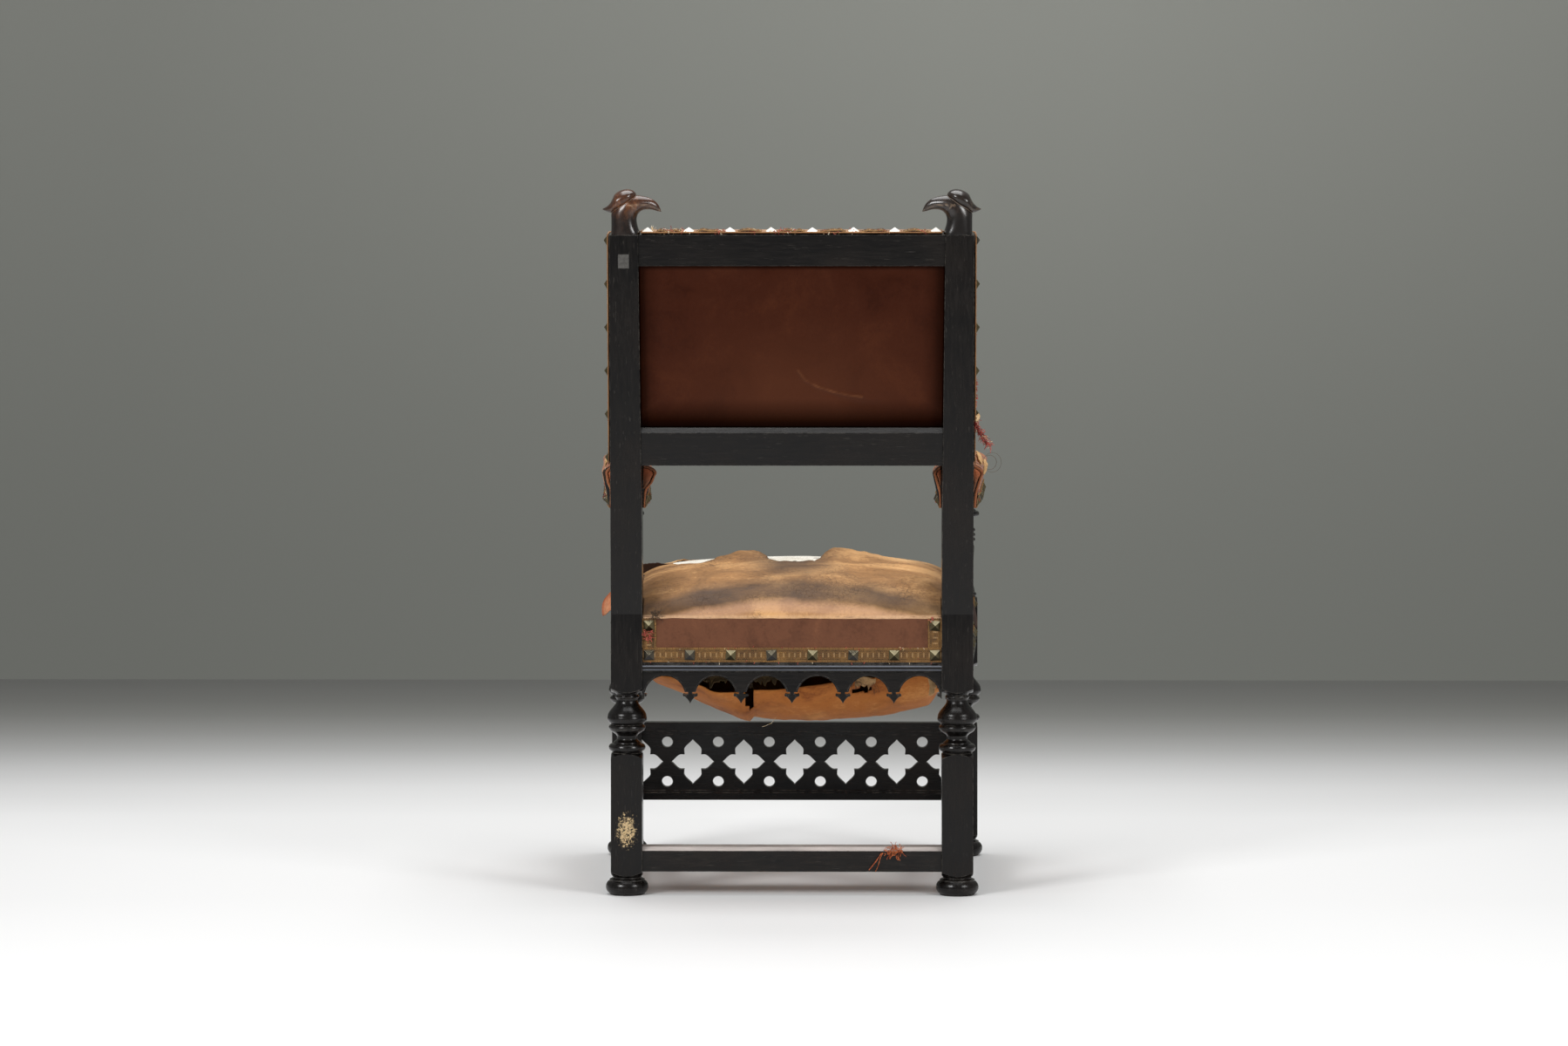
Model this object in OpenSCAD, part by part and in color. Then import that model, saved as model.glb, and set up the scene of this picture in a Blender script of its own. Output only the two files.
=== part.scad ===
// Revival throne chair in ebonised wood with torn leather upholstery.
// The chair faces -Y, its back is at +Y and the floor is Z = 0.
// Left and right are the sitter's: left is +X.

/* [Legs] */
// Side of the square legs and posts
leg_w = 52; // [46:0.5:58]
// Distance between the centres of the back posts
rear_span = 549; // [510:1:600]
// Distance between the centres of the front legs
front_span = 595; // [560:1:640]
// Distance from the front leg centres to the back post centres
leg_depth = 515; // [470:1:560]
// Widest diameter of the turned feet
foot_d = 71; // [64:0.5:80]
// Height of the turned feet
foot_h = 31.5; // [26:0.5:38]
// Height at which the lower square blocks end and the turning begins
block_top = 235; // [225:1:250]
// Length of the turned section
turn_h = 101; // [92:1:112]
// Widest diameter of the turned bulge
bulge_d = 66; // [58:0.5:74]
// Diameter of the two necks of the turning
neck_d = 34; // [26:0.5:40]
// Length of the rounded corners where a square block meets turned work
pommel_h = 8; // [4:0.5:12]

/* [Arm supports] */
// Height at which the square block beside the seat ends
support_z = 458; // [450:1:462]
// Diameter of the turned arm support
support_d = 42; // [34:0.5:48]
// Diameter of the ringed collar below the arm
collar_d = 46; // [40:0.5:52]

/* [Back frame] */
// Backward lean of the back
rake = 6.5; // [3:0.25:9]
// Height at which the back begins to lean
rake_z = 470; // [466:1:490]
// Length of the leaning part of the posts
back_len = 634; // [600:0.5:680]
// Depth of the posts at the top
post_top_d = 42; // [40:0.5:48]
// Width of the posts at the top
post_top_w = 47.5; // [45:0.5:52]
// Height at which the posts begin to narrow
taper_z = 618; // [600:1:640]
// Width of the top rail, up the back
top_rail_w = 51.5; // [45:0.5:70]
// Thickness of the top rail
top_rail_t = 39; // [30:0.5:40]
// Distance up the back to the lower rail
low_rail_pos = 250.7; // [250:0.1:270]
// Width of the lower rail, up the back
low_rail_w = 62.5; // [50:0.5:75]
// Thickness of the lower rail
low_rail_t = 43; // [34:0.5:44]
// Chamfer on the upper rear edge of the lower rail
low_rail_chamfer = 8; // [3:0.5:12]

/* [Seat frame] */
// Height of the lower edge of the seat rails
rail_z = 371; // [366:0.5:376]
// Width of the seat rails, upwards
rail_w = 69; // [64:0.5:74]
// Thickness of the seat rails
rail_t = 32; // [26:0.5:36]
// Setback of the rail faces from the outer faces of the legs
rail_recess = 8; // [7.5:0.25:10]
// Height of the bead moulding along the foot of the rails
mould_h = 16; // [15:0.25:18]

/* [Arcaded apron] */
// Thickness of the apron boards
apron_t = 14; // [10:0.5:18]
// Height of the tops of the arches
arch_top_z = 364; // [358:0.5:366]
// Wanted distance between the pendants
arch_pitch = 84.5; // [70:0.5:100]
// Width of the stem left between two arches
stem_w = 16.8; // [14:0.2:20]
// Height at which the arches end and the pendants begin
spring_z = 337.5; // [334:0.25:341]
// Width of a pendant
pendant_w = 25; // [20:0.5:30]
// Height of a pendant, from its point to the foot of its neck
pendant_h = 15.5; // [12:0.25:18]
// Chamfer round the arches
arch_chamfer = 2; // [1:0.25:3]

/* [Pierced stretcher] */
// Height of the lower edge of the pierced board
pierced_z = 98; // [92:1:106]
// Width of the pierced board, upwards
pierced_w = 137.5; // [128:0.5:140]
// Thickness of the pierced board
pierced_t = 18; // [14:0.5:24]
// Number of quatrefoils along the clear length
quatrefoils = 6; // [4:1:7]
// Reach of the upright petals from the centre
petal_up = 40; // [34:0.5:42]
// Reach of the level petals from the centre
petal_side = 38.5; // [32:0.5:40]
// Half width of the upright petals
petal_up_w = 15.2; // [13:0.2:17]
// Half width of the level petals
petal_side_w = 13.2; // [11:0.2:15]
// Diameter of the round holes
round_hole_d = 19.3; // [12:0.1:22]
// Distance of the round holes above and below the centre line
round_hole_rise = 35; // [31:0.5:38]
// Width of the raised band along the upper edge
upper_band_w = 22; // [10:0.5:24]
// Width of the raised band along the lower edge
lower_band_w = 13; // [8:0.5:18]
// Height of the raised bands above the board on each face
band_rise = 2.5; // [1:0.25:4]

/* [Low stretchers] */
// Height of the lower edge of the low stretchers
stretcher_z = 39.5; // [36:0.5:50]
// Width of the low stretchers, upwards
stretcher_w = 40.5; // [34:0.5:46]
// Thickness of the low stretchers
stretcher_t = 39; // [28:0.5:42]
// Worn chamfer along their outer upper edge
stretcher_chamfer = 6; // [2:0.5:9]

/* [Arms] */
// Height of the underside of the arm rails
arm_z = 642; // [630:1:650]
// Width of the arm rails, upwards
arm_rail_w = 46; // [38:0.5:50]
// Width of the underside of the arm rails
arm_foot_w = 58; // [50:0.5:66]
// Widest width of the stuffed arm pads, without the leather
arm_pad_w = 82; // [74:0.5:90]
// Height of the stuffed arm above its underside
arm_pad_h = 72; // [68:0.5:78]
// Reach of the arms in front of the front leg centres
arm_reach = 66; // [50:1:85]

/* [Joinery] */
// Length of the tenons
tenon_l = 20; // [15:0.5:22]
// Thickness of the tenons
tenon_t = 12; // [8:0.5:16]
// Clearance on each side of a tenon in its mortise
fit = 0.15; // [0.1:0.05:0.4]
// Space left at the end of a tenon or dowel
end_gap = 1; // [0.5:0.25:2]
// Diameter of the dowels under the finials and in the arm supports
dowel_d = 14; // [10:0.5:18]
// Length of those dowels
dowel_l = 24; // [16:1:30]

/* [Upholstery] */
// Height of the stuffed edge of the seat
seat_edge_z = 459.5; // [456:0.5:466]
// Rise of the seat's crown above its edge
seat_crown = 84; // [50:1:95]
// Depth of the stuffing at the middle of the back
back_crown = 32; // [15:1:45]
// Thickness of the leather
leather_t = 2; // [1.2:0.1:2.6]
// Thickness of the white cover under the seat leather
cover_t = 0.8; // [0.5:0.1:1.5]
// Air left between two layers of upholstery
layer_gap = 0.2; // [0.1:0.05:0.4]
// Thickness of the webbing straps
web_t = 1.6; // [1:0.1:2.5]
// Width of the webbing straps
web_w = 50; // [35:1:55]
// Thickness of the hessian
hessian_t = 1; // [0.6:0.1:1.5]
// Width of the woven gallon
gallon_w = 24; // [16:0.5:28]
// Thickness of the woven gallon
gallon_t = 1.5; // [0.8:0.1:1.6]
// Deepest sag of the torn leather under the seat
under_sag = 101; // [40:1:110]
// Side of a square nail head
nail_w = 17.5; // [12:0.5:20]
// Height of a nail head
nail_h = 7; // [4:0.5:9]
// Wanted distance between the nails
nail_pitch = 68; // [55:1:90]

/* [Hidden] */
$fn = 72;

wood_colour = "#232120";
rubbed_colour = "#4a2c1c";
raw_wood_colour = "#8a6a48";
panel_colour = "#4f2316";
tan_colour = "#8d6a46";
border_colour = "#6d4434";
under_colour = "#a5714b";
white_colour = "#e6e2d6";
hair_colour = "#5a4330";
web_colour = "#9c8a66";
gallon_colour = "#7d5c36";
nail_colour = "#86805f";

// Splay of the side rails, from the narrow back to the wide front
splay = atan((front_span - rear_span) / 2 / leg_depth);
turn_top = block_top + turn_h;
half_leg = leg_w / 2;
rear_gap = rear_span - leg_w;
front_gap = front_span - leg_w;
rail_face = half_leg - rail_recess;
rail_top = rail_z + rail_w;
overrun = 5;

// A point of the leaning back in the upright YZ plane, from the back post's centre
function lean(out, up) = [
    -half_leg + out * cos(rake) + up * sin(rake),
    rake_z + up * cos(rake) - out * sin(rake)
];

// Bird head: pairs of points along its back and its throat, with its half thickness.
// Each row is [back across, back up, throat across, throat up, half thickness].
head_rows = [
    [2.9, 0, 50.3, 0, 20.5], [2.9, 4.9, 49.5, 3.9, 20.5], [3, 13.7, 46.3, 13.7, 20],
    [3, 25.3, 44.8, 24.4, 19.5], [3.5, 36.1, 46.5, 31.7, 19], [10, 48.8, 49, 35.1, 18.5],
    [24, 60.4, 52, 37.8, 17.5], [38, 63.9, 55.5, 39.4, 15], [48, 63.7, 59, 40.3, 13],
    [56, 62.4, 63, 40.6, 11], [64, 60.4, 67, 40.5, 9], [71.1, 57.3, 71.5, 39.9, 7],
    [77.4, 52.3, 76, 38.6, 5], [81.5, 46.8, 80, 37.5, 3], [85.5, 37.6, 84.8, 36.7, 0.7]
];
// Cap of feathers over the head, in the same form, from its tip to the beak
crest_rows = [
    [-11.5, 41.5, -11.2, 40.4, 1.5], [-4.7, 45.2, -7.2, 38.2, 7], [0.9, 50.7, 2.4, 35.1, 13],
    [4.9, 57.7, 9, 38, 18], [9.6, 66.3, 15.5, 41.1, 21.5], [20, 72.3, 25.6, 45.9, 22],
    [30.3, 74, 32, 50.7, 20], [38.4, 72, 39.9, 57.7, 14], [43.5, 67.7, 44.4, 63, 6]
];
ring_sides = 20;
finial_mid = post_top_d / 2;

// Ring of points round one row of a bird head
function head_ring(row) = [
    for (k = [0:ring_sides - 1]) let (
        a = 360 * k / ring_sides,
        across = (row[0] + row[2]) / 2 + (row[0] - row[2]) / 2 * cos(a),
        up = (row[1] + row[3]) / 2 + (row[1] - row[3]) / 2 * cos(a)
    ) [-across, finial_mid + row[4] * sin(a), up]
];
head_rings = [for (row = head_rows) head_ring(row)];
crest_rings = [for (row = crest_rows) head_ring(row)];

// The chair's middle in Y is halfway between the arm ends and the backs of the heads
rear_reach = max([for (ring = concat(head_rings, crest_rings)) for (p = ring)
    lean(p.y, back_len + p.z)[0]]);
front_y = -(leg_depth + rear_reach - arm_reach) / 2;
rear_y = front_y + leg_depth;

// X of a line beside the seat, set off outwards from the line through the leg centres
function side_x(y, out) = rear_span / 2 + (rear_y - y) * tan(splay) + out / cos(splay);

// Points on an elliptical arc
function arc(cx, cy, rx, ry, from, to, steps = 8) = [
    for (i = [0:steps]) let (a = from + (to - from) * i / steps) [cx + rx * cos(a), cy + ry * sin(a)]
];
// Points on an ogee that leaves and arrives upright
function ogee(p, q, steps = 8) = [
    for (i = [0:steps]) let (t = i / steps)
        [p.x + (q.x - p.x) * (1 - cos(180 * t)) / 2, p.y + (q.y - p.y) * t]
];
function flat(rows) = [for (row = rows) each row];

// Closed skin over a stack of rings
module loft(rings) {
    n = len(rings[0]);
    last = (len(rings) - 1) * n;
    polyhedron(
        points = flat(rings),
        faces = concat(
            [[for (k = [0:n - 1]) k]],
            [[for (k = [0:n - 1]) last + n - 1 - k]],
            flat([for (i = [0:len(rings) - 2]) for (k = [0:n - 1])
                let (a = i * n + k, b = i * n + (k + 1) % n) [[b, a, b + n], [b + n, a, a + n]]])
        ),
        convexity = 6
    );
}

// Solid between an upper and a lower sheet of points, over the cells that are kept
module sheet_solid(upper, lower, keep) {
    ni = len(upper);
    nj = len(upper[0]);
    below = ni * nj;
    kept = function (i, j) i >= 0 && j >= 0 && i < ni - 1 && j < nj - 1 && keep[i][j];
    at = function (i, j) i * nj + j;
    polyhedron(
        points = concat(flat(upper), flat(lower)),
        faces = flat([for (i = [0:ni - 2]) for (j = [0:nj - 2]) if (keep[i][j])
            let (a = at(i, j), b = at(i, j + 1), c = at(i + 1, j + 1), d = at(i + 1, j)) concat(
                [[a, b, c], [a, c, d]],
                [[below + c, below + b, below + a], [below + d, below + c, below + a]],
                kept(i - 1, j) ? [] : [[a, below + a, below + b], [a, below + b, b]],
                kept(i + 1, j) ? [] : [[c, below + c, below + d], [c, below + d, d]],
                kept(i, j - 1) ? [] : [[d, below + d, below + a], [d, below + a, a]],
                kept(i, j + 1) ? [] : [[b, below + b, below + c], [b, below + c, c]]
            )]),
        convexity = 6
    );
}

// Frames in which the pieces are drawn

// Leaning frame of the back: X across, Y towards the rear, Z up the front of the posts
module leaning() {
    translate([0, rear_y - half_leg, rake_z]) rotate([-rake, 0, 0]) children();
}
// Left side of the seat: X outwards, Y back along the line through the leg centres
module beside() {
    translate([rear_span / 2, rear_y, 0]) rotate([0, 0, splay]) children();
}
// Everything between the front faces of the back posts and the rear faces of the front legs
module between_legs(gap = 0) {
    intersection() {
        children();
        translate([0, front_y + half_leg + gap, -1])
            cube([front_span, leg_depth - leg_w - 2 * gap, 1300]);
    }
}
module at_rear_leg() {
    translate([rear_span / 2, rear_y, 0]) children();
}
module at_front_leg() {
    translate([front_span / 2, front_y, 0]) children();
}
module on_right() {
    mirror([1, 0, 0]) children();
}
module on_both() {
    children();
    mirror([1, 0, 0]) children();
}

// Profile carried across the chair, its X pointing to the rear
module across(length) {
    translate([-length / 2, 0, 0]) rotate([90, 0, 90]) linear_extrude(length) children();
}
// Profile carried along the left side, its X pointing outwards
module along_side() {
    between_legs() beside() translate([0, overrun, 0])
        rotate([90, 0, 0]) linear_extrude(leg_depth / cos(splay) + 2 * overrun) children();
}

// Turned work

foot_r = foot_d / 2;
foot_fillet_r = foot_r - 6.3;
module foot() {
    rotate_extrude() polygon(concat(
        [[0, 0], [foot_r - 6.5, 0]],
        arc(foot_r - 10.5, foot_h * 0.4, 10.5, foot_h * 0.37, -65, 65),
        [[foot_fillet_r, foot_h * 0.74], [foot_fillet_r, foot_h * 0.8]],
        [[half_leg - 2, foot_h * 0.87], [half_leg - 2, foot_h * 0.92], [half_leg - 0.5, foot_h]],
        [[0, foot_h]]
    ));
}

bulge_r = bulge_d / 2;
neck_r = neck_d / 2;
ring_r = bulge_r - 2.3;
// The turned section between the two square blocks, drawn up from its foot
module turning() {
    u = turn_h / 101;
    translate([0, 0, block_top]) rotate_extrude() polygon(concat(
        [[0, 0], [half_leg - 2, 0]],
        arc(ring_r - 6.6, 9.2 * u, 6.6, 6.6 * u, -75, 90),
        ogee([ring_r - 7.2, 16.3 * u], [neck_r, 23.5 * u], 6),
        ogee([neck_r, 27.5 * u], [ring_r - 1.2, 40 * u]),
        arc(ring_r - 4.6, 42.5 * u, 4.6, 4.6 * u, -30, 80, 6),
        arc(bulge_r - 9.4, 57.5 * u, 9.4, 9.4 * u, -55, 18, 6),
        ogee([bulge_r - 0.6, 60.8 * u], [neck_r + 0.4, 88 * u], 10),
        arc(neck_r + 0.4, 93.4 * u, 2.7, 2.7 * u, -80, 80, 6),
        [[neck_r + 1, 97 * u], [neck_r + 4, turn_h], [0, turn_h]]
    ));
}

// Square block whose corners are rounded away at the ends that meet turned work
module block(bottom, top, round_bottom = true, round_top = true) {
    corner = half_leg * 1.45;
    rb = round_bottom ? half_leg - 0.4 : corner;
    rt = round_top ? half_leg - 0.4 : corner;
    intersection() {
        translate([-half_leg, -half_leg, bottom]) cube([leg_w, leg_w, top - bottom]);
        rotate_extrude() polygon([
            [0, bottom], [rb, bottom], [corner, bottom + pommel_h],
            [corner, top - pommel_h], [rt, top], [0, top]
        ]);
    }
}

// Foot, lower block and turned section, shared by all four legs
module lower_leg() {
    foot();
    block(foot_h, block_top);
    turning();
}

// Tenoned bars: each runs through its rail and into the mortises at both ends.
// With room they are the mortises.

module bar_across(gap, y, z, h, room, t = tenon_t) {
    length = gap + 2 * tenon_l + (room > 0 ? 2 * end_gap : 0);
    translate([-length / 2, y - t / 2 - room, z - room]) cube([length, t + 2 * room, h + 2 * room]);
}
module bar_beside(out, z, h, room) {
    reach = tenon_l + (room > 0 ? end_gap : 0);
    intersection() {
        beside() translate([out - tenon_t / 2 - room, -leg_depth / cos(splay), z - room])
            cube([tenon_t + 2 * room, leg_depth / cos(splay), h + 2 * room]);
        translate([0, front_y + half_leg - reach, 0])
            cube([front_span, leg_depth - leg_w + 2 * reach, 1300]);
    }
}

rail_mid = rail_face - rail_t / 2;
shoulder = 5;
rail_tenon_h = rail_w / 2 - 2 * shoulder;
module rear_rail_bar(room = 0) {
    bar_across(rear_gap, rear_y + rail_mid, rail_z + rail_w / 2 + shoulder, rail_tenon_h, room);
}
module front_rail_bar(room = 0) {
    bar_across(front_gap, front_y - rail_mid, rail_z + rail_w / 2 + shoulder, rail_tenon_h, room);
}
module side_rail_bar(room = 0) {
    bar_beside(rail_mid, rail_z + shoulder, rail_tenon_h, room);
}
low_tenon_h = stretcher_w / 2 - shoulder;
module rear_stretcher_bar(room = 0) {
    bar_across(rear_gap, rear_y, stretcher_z + stretcher_w / 2 + 1, low_tenon_h, room);
}
module side_stretcher_bar(room = 0) {
    bar_beside(0, stretcher_z + shoulder - 1, low_tenon_h, room);
}
module pierced_bar(room = 0) {
    bar_across(front_gap, front_y, pierced_z + 2 * shoulder, pierced_w - 4 * shoulder, room);
}
back_tenon_y = 18;
module top_rail_bar(room = 0) {
    leaning() bar_across(rear_gap, back_tenon_y, back_len - top_rail_w + shoulder * 2,
        top_rail_w - 4 * shoulder, room);
}
module low_rail_bar(room = 0) {
    leaning() bar_across(rear_gap, back_tenon_y, low_rail_pos + shoulder * 2,
        low_rail_w - 4 * shoulder, room);
}
arm_tenon_z = arm_z + shoulder;
arm_tenon_h = arm_rail_w - 3 * shoulder;
// Tenon of the left arm, cut square to the leaning face of the post
module arm_bar(room = 0) {
    reach = tenon_l + (room > 0 ? end_gap : 0);
    intersection() {
        beside() translate([-tenon_t / 2 - room, -leg_depth / 2, arm_tenon_z - room])
            cube([tenon_t + 2 * room, leg_depth, arm_tenon_h + 2 * room]);
        leaning() translate([0, -60, 0]) cube([front_span, 60 + reach, back_len]);
    }
}
module finial_dowel(room = 0) {
    leaning() translate([rear_span / 2 + half_leg - post_top_w / 2, finial_mid, back_len - dowel_l - (room > 0 ? end_gap : 0)])
        cylinder(h = dowel_l + (room > 0 ? end_gap : 0), d = dowel_d - 2 + 2 * room);
}
module support_dowel(room = 0) {
    at_front_leg() translate([0, 0, arm_z - overrun * 2])
        cylinder(h = overrun * 2 + dowel_l + (room > 0 ? end_gap : 0), d = dowel_d + 2 * room);
}

// Back posts and front legs

module raked_post() {
    low = turn_top + pommel_h;
    top_rear = lean(post_top_d, back_len);
    top_front = lean(0, back_len);
    intersection() {
        translate([half_leg, 0, 0]) rotate([90, 0, -90]) linear_extrude(leg_w) polygon([
            [half_leg, low], [-half_leg, low], [-half_leg, rake_z - leg_w * tan(rake / 2)],
            [-top_rear[0], top_rear[1]], [-top_front[0], top_front[1]], [half_leg, rake_z]
        ]);
        translate([0, 200, 0]) rotate([90, 0, 0]) linear_extrude(400) polygon([
            [-half_leg, low], [half_leg, low], [half_leg, top_front[1] + 1],
            [half_leg - post_top_w, top_front[1] + 1], [-half_leg, taper_z]
        ]);
    }
}
module rear_post_left() {
    color(wood_colour) difference() {
        at_rear_leg() {
            lower_leg();
            block(turn_top, turn_top + 2 * pommel_h, round_top = false);
            raked_post();
        }
        rear_rail_bar(fit);
        side_rail_bar(fit);
        rear_stretcher_bar(fit);
        side_stretcher_bar(fit);
        top_rail_bar(fit);
        low_rail_bar(fit);
        arm_bar(fit);
        finial_dowel(fit);
    }
}
module rear_post_right() {
    on_right() rear_post_left();
}

support_r = support_d / 2;
collar_r = collar_d / 2;
collar_z = 556;
module arm_support() {
    top = arm_z;
    rotate_extrude() polygon(concat(
        [[0, support_z - 1], [half_leg - 2, support_z - 1], [half_leg - 2, support_z]],
        arc(support_r, support_z + 5, 4, 4, -60, 80),
        ogee([support_r + 0.7, support_z + 9.5], [support_r - 1.5, support_z + 24], 5),
        ogee([support_r - 1.5, support_z + 60], [support_r, collar_z - 8], 6),
        [[support_r - 2.5, collar_z - 3]],
        flat([for (k = [0:2]) arc(collar_r - 4, collar_z + 4 + 8.5 * k, 4, 4, -80, 80, 6)]),
        ogee([collar_r - 3.5, collar_z + 26], [support_r - 5, collar_z + 40], 6),
        arc(collar_r + 2, collar_z + 50, 5, 5, -90, 90, 8),
        [[collar_r + 1, top - 30], [support_r - 1, top - 26], [support_r - 1, top - 16]],
        [[half_leg - 1, top - 8], [half_leg - 1, top], [0, top]]
    ));
}
module front_leg_left() {
    color(wood_colour) difference() {
        union() {
            at_front_leg() {
                lower_leg();
                block(turn_top, support_z);
                arm_support();
            }
            support_dowel();
        }
        front_rail_bar(fit);
        side_rail_bar(fit);
        side_stretcher_bar(fit);
        pierced_bar(fit);
    }
}
module front_leg_right() {
    on_right() front_leg_left();
}

// Carved bird head on the top of a post, looking inwards
module finial_left() {
    color(rubbed_colour) {
        leaning() translate([rear_span / 2 + half_leg, 0, back_len]) union() {
            loft(head_rings);
            loft(crest_rings);
        }
        finial_dowel();
    }
}
module finial_right() {
    on_right() finial_left();
}

// Back rails

// Whatever of a piece of the back lies between the two tapering posts
post_top_z = lean(0, back_len)[1] + 1;
module between_posts() {
    step = leg_w - post_top_w;
    intersection() {
        leaning() children();
        translate([0, rear_y + 200, 0]) rotate([90, 0, 0]) linear_extrude(400) polygon([
            [-rear_gap / 2, 0], [rear_gap / 2, 0], [rear_gap / 2, taper_z],
            [rear_gap / 2 + step, post_top_z], [-rear_gap / 2 - step, post_top_z], [-rear_gap / 2, taper_z]
        ]);
    }
}
// Bar of the back with the given section, its X to the rear and its Y up the back
module back_bar() {
    between_posts() translate([-rear_span / 2, 0, 0]) rotate([90, 0, 90]) linear_extrude(rear_span) children();
}
module top_rail() {
    color(wood_colour) {
        back_bar() translate([0, back_len - top_rail_w]) square([top_rail_t, top_rail_w]);
        top_rail_bar();
    }
}
module lower_back_rail() {
    t = low_rail_t;
    c = low_rail_chamfer;
    color(wood_colour) {
        back_bar() translate([0, low_rail_pos]) polygon([
            [0, 0], [t, 0], [t, low_rail_w - c], [t - c, low_rail_w], [0, low_rail_w]
        ]);
        low_rail_bar();
    }
}

// Seat rails with their bead moulding, drawn with the upholstered face at X = 0

module rail_profile() {
    ledge = leather_t + gallon_t;
    z = rail_z;
    m = mould_h / 16;
    translate([-rail_t, z]) square([rail_t, rail_w]);
    translate([-1, z]) square([1 + 3.8, 11 * m]);
    translate([4.2, z + 7.8 * m]) circle(d = 6.2);
    translate([3.8, z + 2.4 * m]) circle(d = 4);
    polygon([[-1, z + 10 * m], [4.2, z + 10 * m], [3.9, z + 12.4 * m], [2.8, z + 13.6 * m],
        [ledge, z + 15 * m], [ledge, z + mould_h], [-1, z + mould_h]]);
}
module seat_rail_rear() {
    color(wood_colour) {
        translate([0, rear_y + rail_face, 0]) across(rear_gap) tongued_rail();
        rear_rail_bar();
    }
}
module seat_rail_front() {
    color(wood_colour) {
        translate([0, front_y - rail_face, 0]) mirror([0, 1, 0]) across(front_gap) tongued_rail();
        front_rail_bar();
    }
}
module seat_rail_left() {
    color(wood_colour) {
        along_side() translate([rail_face, 0]) tongued_rail();
        side_rail_bar();
    }
}
module seat_rail_right() {
    on_right() seat_rail_left();
}

// The apron boards hang from a groove in the underside of the rails
apron_out = 2;
tongue_t = 5;
tongue_h = 6;
tongue_in = apron_out - apron_t / 2 - tongue_t / 2;
module tongued_rail() {
    difference() {
        rail_profile();
        translate([tongue_in - fit, rail_z - 1]) square([tongue_t + 2 * fit, tongue_h + 1 + fit]);
    }
}

end_web = 3.5;
// Outline of an arcaded board of the given clear length, centred on X = 0
module apron_outline(length) {
    arches = max(2, round((length + 10) / arch_pitch));
    pitch = (length + 10) / arches;
    r = (pitch - stem_w) / 2;
    intersection() {
        translate([-length / 2, 0]) square([length, rail_z]);
        union() {
            difference() {
                translate([-length / 2, spring_z]) square([length, rail_z - spring_z]);
                for (i = [0:arches - 1])
                    translate([(i - (arches - 1) / 2) * pitch, arch_top_z - r]) circle(r);
            }
            for (i = [0:arches]) translate([(i - arches / 2) * pitch, spring_z]) pendant();
            for (side = [-1, 1]) translate([side * length / 2, spring_z])
                square([2 * end_web, pendant_h], center = true);
        }
    }
}
// Pointed drop with two curled lobes, hanging below Y = 0 on a narrow neck
module pendant() {
    neck = 3.6;
    drop = 3.4;
    lobe = 2.4;
    w = pendant_w / 2;
    translate([-neck, -drop - 1]) square([2 * neck, drop + 2]);
    polygon(concat(
        [[-neck, -drop], [neck, -drop], [w - lobe, -drop - 0.4], [w, -drop - lobe]],
        ogee_down([w, -drop - lobe], [0, -drop - pendant_h]),
        ogee_back([0, -drop - pendant_h], [-w, -drop - lobe]),
        [[-w + lobe, -drop - 0.4]]
    ));
    for (side = [-1, 1]) translate([side * (w - lobe), -drop - lobe + 0.6]) circle(lobe);
}
function ogee_down(p, q) = [
    for (i = [1:7]) let (t = i / 7) [p.x + (q.x - p.x) * t, p.y + (q.y - p.y) * (t + t * t * t) / 2]
];
function ogee_back(p, q) = [
    for (i = [1:7]) let (t = 1 - i / 7) [q.x + (p.x - q.x) * t, q.y + (p.y - q.y) * (t + t * t * t) / 2]
];
// Board with its outer face at Y = 0 and a tongue on its upper edge
module apron_board(length) {
    arches = max(2, round((length + 10) / arch_pitch));
    pitch = (length + 10) / arches;
    r = (pitch - stem_w) / 2;
    difference() {
        rotate([90, 0, 0]) linear_extrude(apron_t) apron_outline(length);
        for (i = [0:arches - 1])
            translate([(i - (arches - 1) / 2) * pitch, 0.01, arch_top_z - r])
                rotate([90, 0, 0]) cylinder(h = arch_chamfer, r1 = r + arch_chamfer, r2 = r);
    }
    translate([-length / 2, -apron_t / 2 - tongue_t / 2, rail_z - 1])
        cube([length, tongue_t, tongue_h + 1]);
}
apron_face = rail_face + apron_out;
side_length = (leg_depth - leg_w) / cos(splay);
module apron_rear() {
    color(wood_colour) translate([0, rear_y + apron_face, 0]) apron_board(rear_gap);
}
module apron_front() {
    color(wood_colour) translate([0, front_y - apron_face, 0]) mirror([0, 1, 0]) apron_board(front_gap);
}
module apron_left() {
    color(wood_colour) between_legs() beside()
        translate([apron_face, -leg_depth / cos(splay) / 2, 0]) rotate([0, 0, -90])
            apron_board(side_length + overrun);
}
module apron_right() {
    on_right() apron_left();
}

// Pierced stretcher between the front legs

// Half of one petal, from the heart of the quatrefoil to its point
function petal_side_points(reach, half, inner) = concat(
    [[inner * 0.96, 0], [inner, inner * 0.82], [half, reach * 0.4], [half, reach * 0.47]],
    [for (i = [1:9]) let (t = i / 9)
        [half * (1 - t) * (1 + 0.42 * sin(180 * t)) , reach * (0.47 + 0.53 * t)]]
);
module petal(reach, half, inner) {
    right = petal_side_points(reach, half, inner);
    left = [for (i = [len(right) - 2:-1:0]) [-right[i].x, right[i].y]];
    polygon(concat(right, left));
}
module quatrefoil() {
    for (a = [0, 180]) rotate(a) petal(petal_up, petal_up_w, petal_up_w - 0.8);
    for (a = [90, 270]) rotate(a) petal(petal_side, petal_side_w, petal_side_w - 0.8);
    square([2 * petal_up_w - 2, 2 * petal_side_w - 2], center = true);
}
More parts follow.
